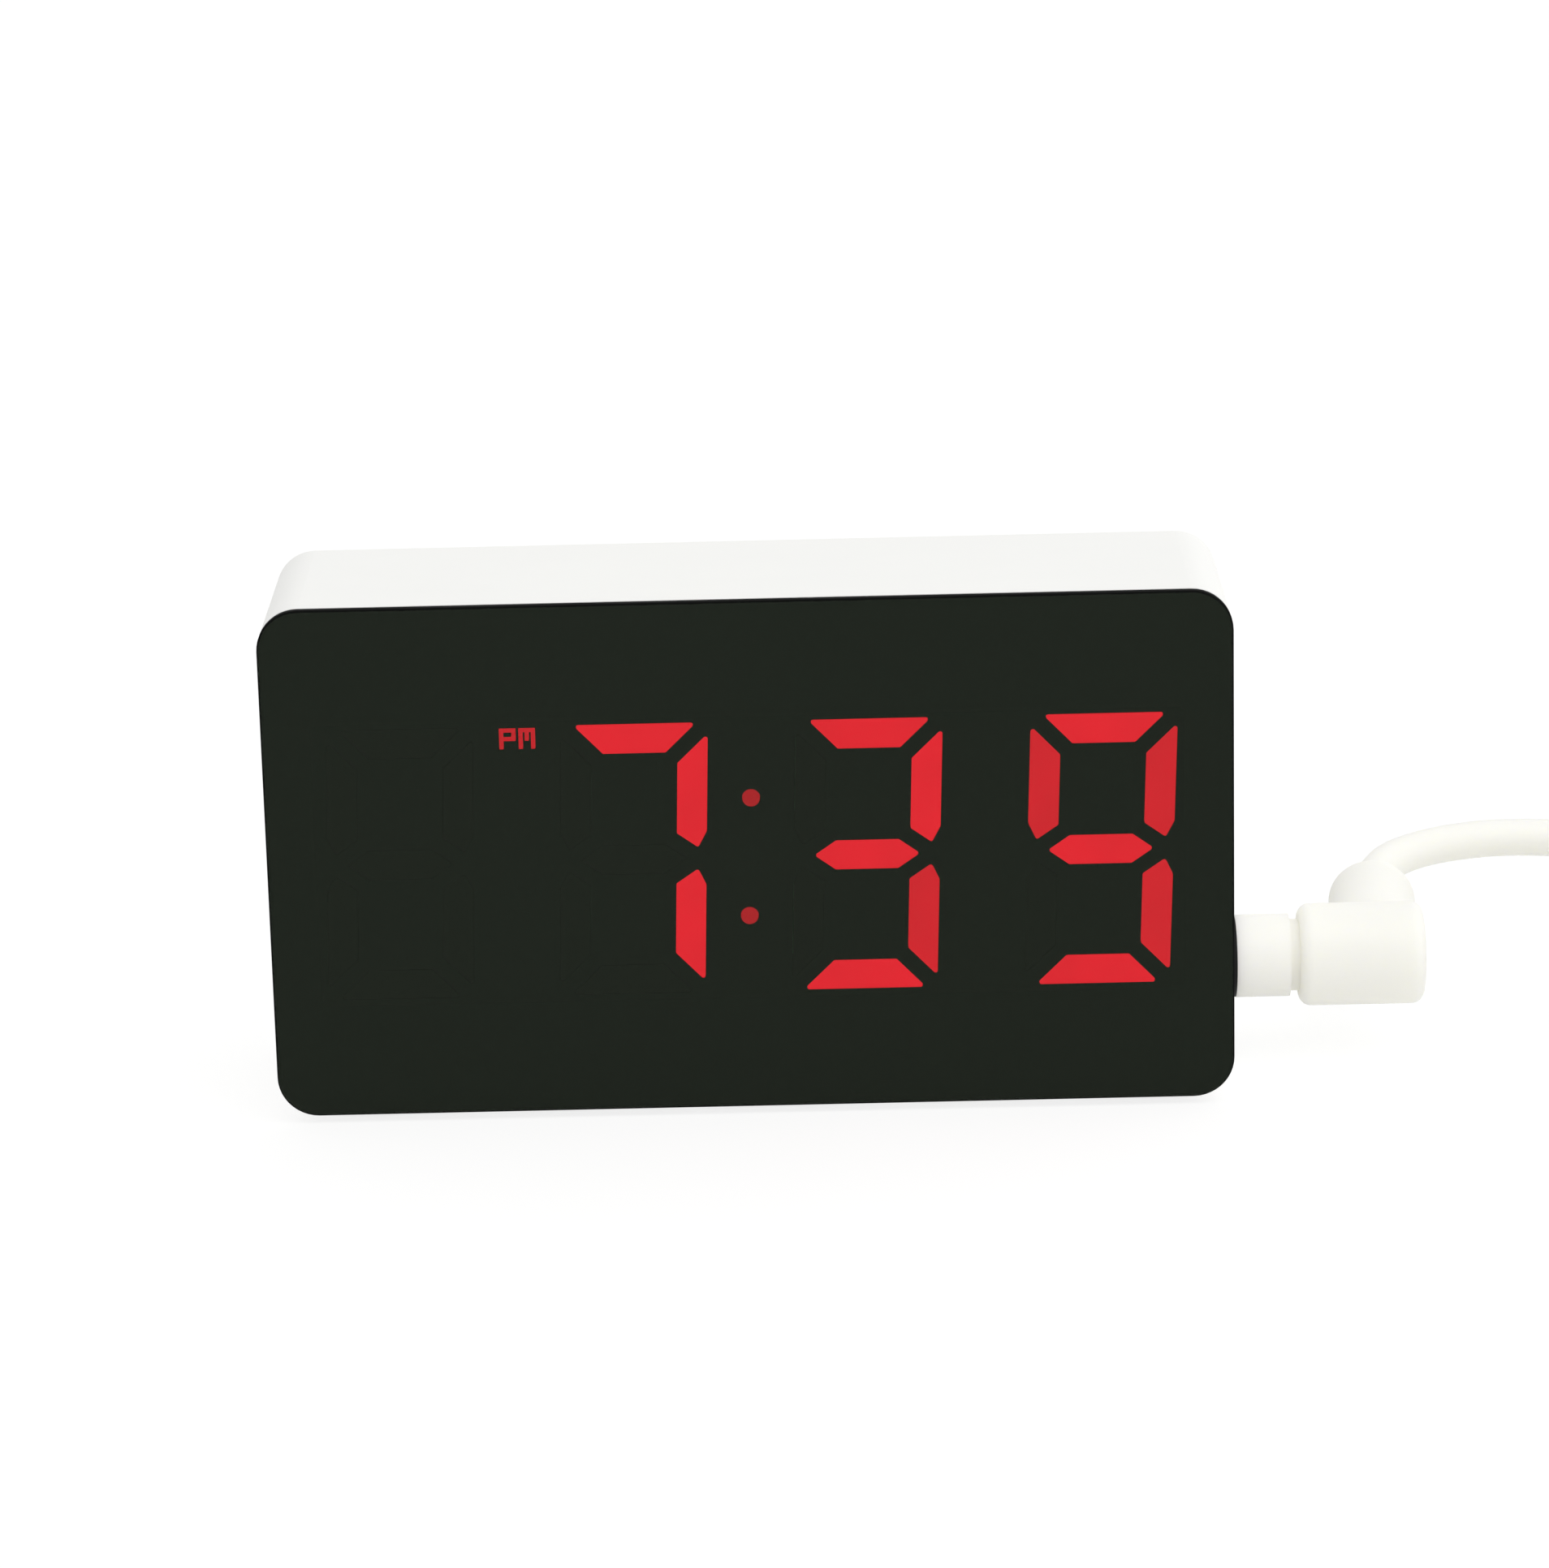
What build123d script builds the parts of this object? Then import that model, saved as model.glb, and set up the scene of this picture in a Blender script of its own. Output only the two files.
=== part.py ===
from build123d import *
import math
import os

# All sizes are in millimetres. The clock stands on z = 0, its front faces -Y and +X is to the right.

# Display: four seven-segment digits with a colon and a PM mark
DIGIT_COUNT = 4
DIGIT_WIDTH = 16.6
DIGIT_HEIGHT = 32.0
DIGIT_PITCH = 26.6
DIGIT_LEAN = 2.0
SEGMENT_WIDTH = 3.4
SEGMENT_GAP = 1.9
SEGMENT_TIP_ANGLE = 35.0
SEGMENT_POINT_INSET = 0.95
SEGMENT_POINT_RISE = 1.3
SEGMENT_CHAMFER_RISE = 1.9
SEGMENT_CORNER = 0.25
SEGMENT_DEPTH = 1.2
COLON_DIAMETER = 2.0
COLON_SPACING = 14.0
MARK_HEIGHT = 2.4
MARK_LETTER_WIDTH = 1.85
MARK_LETTER_GAP = 0.35
MARK_STROKE = 0.45
MARK_BOWL_HEIGHT = 1.0
MARK_DROP = 0.2
WELL_CLEARANCE = 0.05
REFLECTOR_DEPTH = 8.0
REFLECTOR_MARGIN = 1.4
REFLECTOR_CORNER = 1.5
LED_LENGTH = 1.6
LED_WIDTH = 0.8
LED_HEIGHT = 0.6

# Front panel and case
SIDE_MARGIN = 6.8
TOP_MARGIN = 14.4
BOTTOM_MARGIN = 13.6
CORNER_RADIUS = 4.7
PANEL_THICKNESS = 1.0
PANEL_EDGE_CHAMFER = 0.2
TAPE_THICKNESS = 0.25
TAPE_INSET = 0.3
PANEL_TO_DISPLAY = 0.3
CASE_WALL = 2.2
REAR_WALL = 2.0
REAR_EDGE_RADIUS = 2.0
FIT_CLEARANCE = 0.15
FRAME_THICKNESS = 1.6
WINDOW_CLEARANCE = 0.3
FOOT_HEIGHT = 0.8
FOOT_DIAMETER = 8.0
FOOT_RECESS = 0.6
FOOT_INSET_X = 12.0
FOOT_INSET_Y = 7.2

# Display board and what stands on it
BOARD_THICKNESS = 1.2
BOARD_SIDE_GAP = 1.8
BOARD_BOTTOM_GAP = 2.2
BOARD_TOP_GAP = 8.5
BOARD_TAB_WIDTH = 9.0
BOARD_TAB_RISE = 5.8
COMPONENT_SPACE = 5.95
POST_DIAMETER = 4.8
POST_X = 22.0
POST_EDGE = 2.9
BOARD_SCREW_DIAMETER = 1.8
BOARD_SCREW_LENGTH = 5.6
BOARD_SCREW_HEAD = 3.6
BOARD_SCREW_HEAD_HEIGHT = 1.3
CHIP_LENGTH = 10.3
CHIP_WIDTH = 7.5
CHIP_HEIGHT = 2.3
CHIP_X = -12.0
CRYSTAL_DIAMETER = 2.1
CRYSTAL_LENGTH = 6.2
CRYSTAL_X = 4.0
CAPACITOR_DIAMETER = 5.0
CAPACITOR_HEIGHT = 9.0
CAPACITOR_X = -40.0
BUZZER_DIAMETER = 12.0
BUZZER_HEIGHT = 8.5
BUZZER_INSET = 11.0
BUZZER_RISE = 36.0
SOUND_HOLE_DIAMETER = 1.3
SOUND_HOLE_RING = 3.2
SOUND_HOLE_COUNT = 6

# Case screws
CASE_SCREW_DIAMETER = 2.4
CASE_SCREW_LENGTH = 9.0
CASE_SCREW_HEAD = 4.4
CASE_SCREW_HEAD_HEIGHT = 1.8
CASE_SCREW_RECESS = 0.5
SCREW_CLEARANCE = 0.05
BOSS_WALL = 1.25
BOSS_SEAM_GAP = 0.8
BOSS_CLAMP = 3.0
BOSS_EDGE_GAP = 1.0
BOSS_SOCKET_GAP = 1.3
CROSS_SLOT_LENGTH = 2.4
CROSS_SLOT_WIDTH = 0.6
CROSS_SLOT_DEPTH = 0.9

# Battery bay, three cells side by side
CELL_DIAMETER = 10.5
CELL_LENGTH = 44.5
CELL_COUNT = 3
CELL_GAP = 0.7
CELL_NUB_DIAMETER = 3.8
CELL_NUB_LENGTH = 1.0
CELL_REST_GAP = 0.1
CELL_DOOR_GAP = 0.25
CONTACT_THICKNESS = 0.4
CONTACT_SIZE = 9.0
SPRING_LENGTH = 4.6
SPRING_WIRE = 0.6
SPRING_BASE_RADIUS = 3.4
SPRING_TIP_RADIUS = 2.2
SPRING_QUARTERS = 14
BAY_FLOOR = 1.2
BAY_WALL = 2.4
BAY_BOTTOM_GAP = 1.0
WIRE_DIAMETER = 1.2
DOOR_LEDGE = 1.4
DOOR_CLEARANCE = 0.25
DOOR_SEAT_CLEARANCE = 0.15
DOOR_CORNER = 1.6
HINGE_PIN_DIAMETER = 1.2
HINGE_PIN_LENGTH = 1.3
HINGE_CLEARANCE = 0.06
LATCH_WIDTH = 9.0
LATCH_LENGTH = 6.0
LATCH_SLOT = 0.8
LATCH_RIB_COUNT = 3
LATCH_RIB_WIDTH = 0.6
LATCH_RIB_DEPTH = 0.4
NOTCH_RADIUS = 6.0
NOTCH_DEPTH = 1.2

# Buttons on the back
BUTTON_NAMES = ["mode", "up", "down", "alarm"]
BUTTON_LENGTH = 9.0
BUTTON_WIDTH = 4.6
BUTTON_PITCH = 15.0
BUTTON_RECESS = 1.0
BUTTON_INSET = 0.2
BUTTON_CLEARANCE = 0.3
BUTTON_EDGE_RADIUS = 0.4
BUTTON_FLANGE = 1.0
BUTTON_FLANGE_THICKNESS = 0.8
BUTTON_TRAVEL = 0.5
BUTTON_STEM_LENGTH = 1.0
RECESS_MARGIN = 2.4
SWITCH_SIZE = 6.0
SWITCH_HEIGHT = 3.5
PLUNGER_DIAMETER = 3.4
PLUNGER_PROUD = 1.0
PLUNGER_DEPTH = 1.0
PLUNGER_CLEARANCE = 0.1
PLUNGER_TRAVEL_ROOM = 0.4
KEY_BOARD_THICKNESS = 1.2
KEY_BOARD_HEIGHT = 9.0
KEY_BOARD_TOP_GAP = 1.6
KEY_POST_DIAMETER = 4.6
KEY_POST_OUTSET = 9.0
KEY_BOARD_END = 3.5
RIBBON_WIDTH = 8.0
RIBBON_THICKNESS = 0.8
RIBBON_EDGE = 1.2

# Power socket in the right wall, and the plug in it
SOCKET_LENGTH = 13.0
SOCKET_WIDTH = 9.0
SOCKET_HEIGHT = 11.0
SOCKET_AXIS_HEIGHT = 6.55
SOCKET_RISE = 11.4
SOCKET_NOSE_DIAMETER = 8.0
SOCKET_WALL_GAP = 0.2
SOCKET_BORE_DEPTH = 10.0
SOCKET_PIN_DIAMETER = 2.0
SOCKET_PIN_LENGTH = 8.6
BARREL_DIAMETER = 5.5
BARREL_LENGTH = 9.5
BARREL_HELD_LENGTH = 5.0
BARREL_CLEARANCE = 0.08
PLUG_GAP = 0.2
COLLAR_DIAMETER = 9.6
COLLAR_LENGTH = 1.1
NECK_DIAMETER = 9.7
NECK_LENGTH = 6.3
GROOVE_DIAMETER = 8.4
GROOVE_LENGTH = 1.1
PLUG_BODY_DIAMETER = 12.0
PLUG_BODY_LENGTH = 14.6
PLUG_BODY_RADIUS = 1.4
BRANCH_DIAMETER = 10.3
BRANCH_LENGTH = 17.5
BRANCH_SETBACK = 5.9
BRANCH_TILT = 4.0
BRANCH_YAW = 5.5
BRANCH_END_RADIUS = 0.8
RELIEF_ROOT_DIAMETER = 7.4
RELIEF_TIP_DIAMETER = 5.8
RELIEF_LENGTH = 2.0

# Lead: a limp round cord, its route from the plug to a tied coil and on to the USB plug
CORD_DIAMETER = 4.6
COIL_TURNS = 5
COIL_OUTER_RADIUS = 34.0
COIL_PITCH = 5.2
COIL_LIFT = 0.8
COIL_OFFSET = (61.0, -11.2)
ROUTE_START_RUN = 4.0
ROUTE_RUNS = [4.2, 4.2, 4.4, 5.0, 6.4, 8.5, 10.0]
ROUTE_HEADINGS = [71.0, 57.0, 43.0, 31.0, 21.0, 12.0, 6.0]
ROUTE_RISES = [0.35, 0.25, 0.1, 0.0, -0.15, -0.8, -2.4]
ROUTE_LAST_RUN = 10.2
TAIL_RUNS = [12.0, 13.0, 13.0, 12.0, 10.0]
TAIL_HEADINGS = [-18.0, -42.0, -67.0, -90.0]
TAIL_RISES = [0.0, 0.2, 0.3, 0.4, 0.0]
TURN_FACTOR = 0.45
TIE_THICKNESS = 0.6
TIE_WIDTH = 6.0
TIE_CLEARANCE = 0.4
TIE_CORNER = 2.0
USB_RELIEF_LENGTH = 10.0
USB_RELIEF_DIAMETER = 7.2
USB_GRIP_LENGTH = 23.0
USB_GRIP_WIDTH = 15.6
USB_GRIP_THICKNESS = 8.0
USB_GRIP_RADIUS = 2.0
USB_SHELL_LENGTH = 18.6
USB_SHELL_WIDTH = 12.0
USB_SHELL_HEIGHT = 4.5
USB_SHELL_WALL = 0.3
USB_HOLE_SIZE = 2.2
USB_HOLE_SPACING = 5.6
USB_HOLE_INSET = 7.0
USB_TONGUE_LENGTH = 16.0
USB_TONGUE_THICKNESS = 1.8
USB_CONTACT_WIDTH = 1.0
USB_CONTACT_LENGTH = 7.5
USB_CONTACT_THICKNESS = 0.2
USB_CONTACT_PITCH = 2.4
USB_CONTACT_COUNT = 4

# Overall sizes that follow from the pieces
CLOCK_WIDTH = (DIGIT_COUNT - 1) * DIGIT_PITCH + DIGIT_WIDTH + 2 * SIDE_MARGIN
CASE_HEIGHT = DIGIT_HEIGHT + TOP_MARGIN + BOTTOM_MARGIN
CLOCK_DEPTH = (
    PANEL_THICKNESS + PANEL_TO_DISPLAY + REFLECTOR_DEPTH + BOARD_THICKNESS + COMPONENT_SPACE
    + BAY_FLOOR + CELL_REST_GAP + CELL_DIAMETER + CELL_DOOR_GAP + REAR_WALL
)

# Depths, from the front of the clock to its back
FRONT_Y = -CLOCK_DEPTH / 2
PANEL_BACK_Y = FRONT_Y + PANEL_THICKNESS
RIM_Y = PANEL_BACK_Y + TAPE_THICKNESS
FRAME_BACK_Y = RIM_Y + FRAME_THICKNESS
DISPLAY_Y = PANEL_BACK_Y + PANEL_TO_DISPLAY
BOARD_FRONT_Y = DISPLAY_Y + REFLECTOR_DEPTH
BOARD_BACK_Y = BOARD_FRONT_Y + BOARD_THICKNESS
SEAM_Y = BOARD_BACK_Y + BOSS_SEAM_GAP
BAY_FLOOR_Y = BOARD_BACK_Y + COMPONENT_SPACE + BAY_FLOOR
BACK_Y = CLOCK_DEPTH / 2
INNER_BACK_Y = BACK_Y - REAR_WALL

# Heights and half widths
CASE_BOTTOM = FOOT_HEIGHT
CASE_TOP = CASE_BOTTOM + CASE_HEIGHT
CASE_MID = (CASE_BOTTOM + CASE_TOP) / 2
WALL_X = CLOCK_WIDTH / 2
INNER_X = WALL_X - CASE_WALL
INNER_WIDTH = 2 * INNER_X
INNER_HEIGHT = CASE_HEIGHT - 2 * CASE_WALL
INNER_CORNER = CORNER_RADIUS - CASE_WALL
DIGIT_MID = CASE_BOTTOM + BOTTOM_MARGIN + DIGIT_HEIGHT / 2
LEAN_RATE = math.tan(math.radians(DIGIT_LEAN))
REFLECTOR_WIDTH = CLOCK_WIDTH - 2 * SIDE_MARGIN + LEAN_RATE * DIGIT_HEIGHT + 2 * REFLECTOR_MARGIN
REFLECTOR_HEIGHT = DIGIT_HEIGHT + 2 * REFLECTOR_MARGIN
WINDOW_WIDTH = REFLECTOR_WIDTH + 2 * WINDOW_CLEARANCE
WINDOW_HEIGHT = REFLECTOR_HEIGHT + 2 * WINDOW_CLEARANCE

# Battery bay, door and button row
BAY_LENGTH = CELL_LENGTH + SPRING_LENGTH + 2 * CONTACT_THICKNESS + CELL_REST_GAP
WIRE_X = (BAY_LENGTH - CONTACT_THICKNESS) / 2
CELL_PITCH = CELL_DIAMETER + CELL_GAP
BAY_HEIGHT = CELL_COUNT * CELL_PITCH
BAY_OUTER_X = BAY_LENGTH / 2 + BAY_WALL
BAY_BOTTOM = CASE_BOTTOM + CASE_WALL + BAY_BOTTOM_GAP + BAY_WALL
BAY_MID = BAY_BOTTOM + BAY_HEIGHT / 2
CELL_AXIS_Y = BAY_FLOOR_Y + CELL_REST_GAP + CELL_DIAMETER / 2
CELL_HEIGHTS = [BAY_BOTTOM + CELL_PITCH * (i + 0.5) for i in range(CELL_COUNT)]
DOOR_THICKNESS = REAR_WALL - DOOR_SEAT_CLEARANCE
DOOR_LENGTH = BAY_LENGTH + 2 * DOOR_LEDGE - 2 * DOOR_CLEARANCE
DOOR_HEIGHT = BAY_HEIGHT + 2 * DOOR_LEDGE - 2 * DOOR_CLEARANCE
HINGE_X = -DOOR_LENGTH / 2 + DOOR_THICKNESS / 2
HINGE_Y = BACK_Y - DOOR_THICKNESS / 2
BUTTON_Z = CASE_TOP - CASE_WALL - KEY_BOARD_TOP_GAP - KEY_BOARD_HEIGHT / 2
BUTTON_ROW = [BUTTON_PITCH * (i - (len(BUTTON_NAMES) - 1) / 2) for i in range(len(BUTTON_NAMES))]
FLANGE_BACK_Y = INNER_BACK_Y - BUTTON_CLEARANCE
FLANGE_FRONT_Y = FLANGE_BACK_Y - BUTTON_FLANGE_THICKNESS
PLUNGER_TOP_Y = FLANGE_FRONT_Y - BUTTON_STEM_LENGTH
SWITCH_TOP_Y = PLUNGER_TOP_Y - PLUNGER_PROUD
KEY_BOARD_BACK_Y = SWITCH_TOP_Y - SWITCH_HEIGHT
KEY_BOARD_FRONT_Y = KEY_BOARD_BACK_Y - KEY_BOARD_THICKNESS
KEY_POST_X = BUTTON_ROW[-1] + KEY_POST_OUTSET
KEY_BOARD_LENGTH = 2 * (KEY_POST_X + KEY_BOARD_END)

# Display board outline and its posts
BOARD_HALF_WIDTH = INNER_X - BOARD_SIDE_GAP
BOARD_BOTTOM = CASE_BOTTOM + CASE_WALL + BOARD_BOTTOM_GAP
BOARD_TOP = CASE_TOP - CASE_WALL - BOARD_TOP_GAP
POST_HEIGHTS = [BOARD_BOTTOM + POST_EDGE, BOARD_TOP + BOARD_TAB_RISE - POST_EDGE]
POST_PLACES = [(side * POST_X, z) for side in (-1, 1) for z in POST_HEIGHTS]

# Socket and plug
SOCKET_Y = BOARD_BACK_Y + SOCKET_AXIS_HEIGHT
SOCKET_Z = CASE_BOTTOM + SOCKET_RISE
SOCKET_FACE_X = INNER_X - SOCKET_WALL_GAP
SOCKET_MOUTH_X = WALL_X - SOCKET_WALL_GAP
SOCKET_BORE_X = SOCKET_MOUTH_X - SOCKET_BORE_DEPTH
SOCKET_BORE_RADIUS = BARREL_DIAMETER / 2 + BARREL_CLEARANCE
PLUG_FACE_X = WALL_X + PLUG_GAP
NECK_X = PLUG_FACE_X + COLLAR_LENGTH
GROOVE_X = NECK_X + NECK_LENGTH
PLUG_BODY_X = GROOVE_X + GROOVE_LENGTH
PLUG_END_X = PLUG_BODY_X + PLUG_BODY_LENGTH
BRANCH_X = PLUG_END_X - BRANCH_SETBACK
BRANCH_ROOT = Vector(BRANCH_X, SOCKET_Y, SOCKET_Z)
BRANCH_WAY = Vector(0, 1, 0).rotate(Axis.X, BRANCH_TILT).rotate(Axis.Z, -BRANCH_YAW)
CORD_EXIT = BRANCH_ROOT + BRANCH_WAY * (BRANCH_LENGTH + RELIEF_LENGTH)

# Case screw bosses: the lower pair level with the socket's end, the upper pair in the corners
BOSS_BORE = CASE_SCREW_HEAD + CASE_SCREW_RECESS
BOSS_DIAMETER = BOSS_BORE + 2 * BOSS_WALL
BOSS_LOW_X = SOCKET_FACE_X - SOCKET_LENGTH - BOSS_SOCKET_GAP - BOSS_DIAMETER / 2
BOSS_LOW_Z = CASE_BOTTOM + CASE_WALL + BOSS_EDGE_GAP + BOSS_DIAMETER / 2
BOSS_HIGH_X = INNER_X - 2 * BOSS_EDGE_GAP - BOSS_DIAMETER / 2
BOSS_HIGH_Z = CASE_TOP - CASE_WALL - BOSS_EDGE_GAP - BOSS_DIAMETER / 2
BOSS_PLACES = [
    (side * x, z) for side in (-1, 1) for x, z in ((BOSS_LOW_X, BOSS_LOW_Z), (BOSS_HIGH_X, BOSS_HIGH_Z))
]
SCREW_SEAT_Y = SEAM_Y + BOSS_CLAMP

# Coil: its centre and the heights of its two layers
COIL_X = CORD_EXIT.X + COIL_OFFSET[0]
COIL_Y = CORD_EXIT.Y + COIL_OFFSET[1]
COIL_LOW_Z = COIL_LIFT + CORD_DIAMETER / 2
COIL_HIGH_Z = COIL_LOW_Z + COIL_PITCH
COIL_MID_ANGLE = math.pi * COIL_TURNS


def slab(profile, y_front, y_back):
    """A profile drawn in X and Z, carried from one depth to another."""
    return extrude(Plane.XZ.offset(-y_front) * profile, amount=y_back - y_front, dir=(0, 1, 0))


def rod_x(diameter, x_low, x_high, y, z):
    """A round rod along X."""
    return Pos((x_low + x_high) / 2, y, z) * Rot(0, 90, 0) * Cylinder(diameter / 2, x_high - x_low)


def rod_y(diameter, x, y_low, y_high, z):
    """A round rod along Y."""
    return Pos(x, (y_low + y_high) / 2, z) * Rot(90, 0, 0) * Cylinder(diameter / 2, y_high - y_low)


def rod_z(diameter, x, y, z_low, z_high):
    """A round rod along Z."""
    return Pos(x, y, (z_low + z_high) / 2) * Cylinder(diameter / 2, z_high - z_low)


def block(x_low, x_high, y_low, y_high, z_low, z_high):
    """A plain block between two corners."""
    middle = Pos((x_low + x_high) / 2, (y_low + y_high) / 2, (z_low + z_high) / 2)
    return middle * Box(x_high - x_low, y_high - y_low, z_high - z_low)


def rounded(width, height, radius, x=0.0, z=0.0):
    """A rounded rectangle profile about a point of the X-Z plane."""
    return Pos(x, z) * RectangleRounded(width, height, radius)


def group(solids):
    """Several separate solids as one node."""
    return Compound(children=list(solids))


def flat_face(points):
    """A face with straight sides through the points."""
    return make_face(Polyline(*points, close=True))


def segment_outlines():
    """The seven bars of an upright digit about its middle, keyed by their usual letters."""
    half_width = DIGIT_WIDTH / 2
    half_height = DIGIT_HEIGHT / 2
    mitre = SEGMENT_GAP / math.sqrt(2)
    tip_slope = math.tan(math.radians(SEGMENT_TIP_ANGLE))
    inner = half_width - SEGMENT_WIDTH
    bar_a = [
        (half_width - mitre, half_height),
        (inner - mitre, half_height - SEGMENT_WIDTH),
        (mitre - inner, half_height - SEGMENT_WIDTH),
        (mitre - half_width, half_height),
    ]
    bar_b = [
        (half_width, half_height - mitre),
        (half_width, SEGMENT_POINT_RISE + SEGMENT_CHAMFER_RISE),
        (half_width - SEGMENT_POINT_INSET, SEGMENT_POINT_RISE),
        (inner, SEGMENT_POINT_RISE + (SEGMENT_WIDTH - SEGMENT_POINT_INSET) * tip_slope),
        (inner, half_height - SEGMENT_WIDTH - mitre),
    ]
    shoulder = inner - mitre
    tip = shoulder + SEGMENT_WIDTH / 2 / tip_slope
    bar_g = [
        (tip, 0),
        (shoulder, SEGMENT_WIDTH / 2),
        (-shoulder, SEGMENT_WIDTH / 2),
        (-tip, 0),
        (-shoulder, -SEGMENT_WIDTH / 2),
        (shoulder, -SEGMENT_WIDTH / 2),
    ]
    return {
        "a": bar_a,
        "b": bar_b,
        "c": [(u, -v) for u, v in bar_b],
        "d": [(u, -v) for u, v in bar_a],
        "e": [(-u, -v) for u, v in bar_b],
        "f": [(-u, v) for u, v in bar_b],
        "g": bar_g,
    }


def leaned(points, x):
    """Points of an upright digit, leaned to the right and moved to their place on the clock."""
    return [(x + u + LEAN_RATE * v, DIGIT_MID + v) for u, v in points]


DIGIT_PLACES = [DIGIT_PITCH * (i - (DIGIT_COUNT - 1) / 2) for i in range(DIGIT_COUNT)]
LIT_BARS = ["", "abc", "abcdg", "abcdfg"]
MARK_X = (DIGIT_PLACES[0] + DIGIT_PLACES[1]) / 2 + LEAN_RATE * (DIGIT_HEIGHT - MARK_HEIGHT) / 2
MARK_TOP = DIGIT_MID + DIGIT_HEIGHT / 2 - MARK_DROP
MARK_WIDTH = 2 * MARK_LETTER_WIDTH + MARK_LETTER_GAP
MARK_WAIST = MARK_TOP - MARK_BOWL_HEIGHT
COLON_PLACES = [(LEAN_RATE * v, DIGIT_MID + v) for v in (COLON_SPACING / 2, -COLON_SPACING / 2)]


def bar_places():
    """Every bar of the display: its points on the clock and whether it is lit."""
    outlines = segment_outlines()
    for x, lit in zip(DIGIT_PLACES, LIT_BARS):
        for letter, points in outlines.items():
            yield leaned(points, x), letter in lit


def mark_profiles():
    """The letters of the PM mark as square strokes."""
    stroke = MARK_STROKE
    width = MARK_LETTER_WIDTH
    low = MARK_TOP - MARK_HEIGHT
    p_left = MARK_X - MARK_WIDTH / 2
    m_left = p_left + width + MARK_LETTER_GAP

    def bar(x, z, wide, tall):
        return Pos(x + wide / 2, z + tall / 2) * Rectangle(wide, tall)

    letter_p = (
        bar(p_left, low, stroke, MARK_HEIGHT)
        + bar(p_left, MARK_TOP - stroke, width, stroke)
        + bar(p_left, MARK_WAIST - stroke, width, stroke)
        + bar(p_left + width - stroke, MARK_WAIST - stroke, stroke, MARK_TOP - MARK_WAIST + stroke)
    )
    letter_m = (
        bar(m_left, low, stroke, MARK_HEIGHT)
        + bar(m_left, MARK_TOP - stroke, width, stroke)
        + bar(m_left + width - stroke, low, stroke, MARK_HEIGHT)
        + bar(m_left + (width - stroke) / 2, MARK_WAIST - stroke, stroke, MARK_TOP - MARK_WAIST + stroke)
    )
    return [letter_p, letter_m]


def make_display():
    """The reflector block with its light wells, the bars in them, and the lamps behind."""
    back = DISPLAY_Y + SEGMENT_DEPTH
    reflector = slab(
        rounded(REFLECTOR_WIDTH, REFLECTOR_HEIGHT, REFLECTOR_CORNER, 0, DIGIT_MID), DISPLAY_Y, BOARD_FRONT_Y
    )
    bars = {True: [], False: []}
    lamps = []
    wells = []
    for points, lit in bar_places():
        face = fillet(flat_face(points).vertices(), SEGMENT_CORNER)
        wells.append(slab(offset(face, WELL_CLEARANCE, kind=Kind.INTERSECTION), DISPLAY_Y, BOARD_FRONT_Y))
        bars[lit].append(slab(face, DISPLAY_Y, back))
        lamps.append((sum(x for x, _ in points) / len(points), sum(z for _, z in points) / len(points)))
    dots = [rod_y(COLON_DIAMETER, x, DISPLAY_Y, back, z) for x, z in COLON_PLACES]
    wells += [
        rod_y(COLON_DIAMETER + 2 * WELL_CLEARANCE, x, DISPLAY_Y, BOARD_FRONT_Y, z) for x, z in COLON_PLACES
    ]
    lamps += COLON_PLACES
    letters = [slab(profile, DISPLAY_Y, back) for profile in mark_profiles()]
    wells += [
        slab(offset(profile, WELL_CLEARANCE, kind=Kind.INTERSECTION), DISPLAY_Y, back)
        for profile in mark_profiles()
    ]
    foot_height = MARK_WAIST - MARK_TOP + MARK_HEIGHT - MARK_STROKE
    foot_mid = MARK_TOP - MARK_HEIGHT + foot_height / 2
    wells.append(slab(Pos(MARK_X, foot_mid) * Rectangle(MARK_WIDTH, foot_height), back, BOARD_FRONT_Y))
    lamps.append((MARK_X, foot_mid))
    leds = [
        slab(Pos(x, z) * Rectangle(LED_LENGTH, LED_WIDTH), BOARD_FRONT_Y - LED_HEIGHT, BOARD_FRONT_Y)
        for x, z in lamps
    ]
    return {
        "segment_reflector": reflector - wells,
        "lit_segments": group(bars[True]),
        "dark_segments": group(bars[False]),
        "colon_dots": group(dots),
        "pm_mark": group(letters),
        "segment_leds": group(leds),
    }


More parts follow.
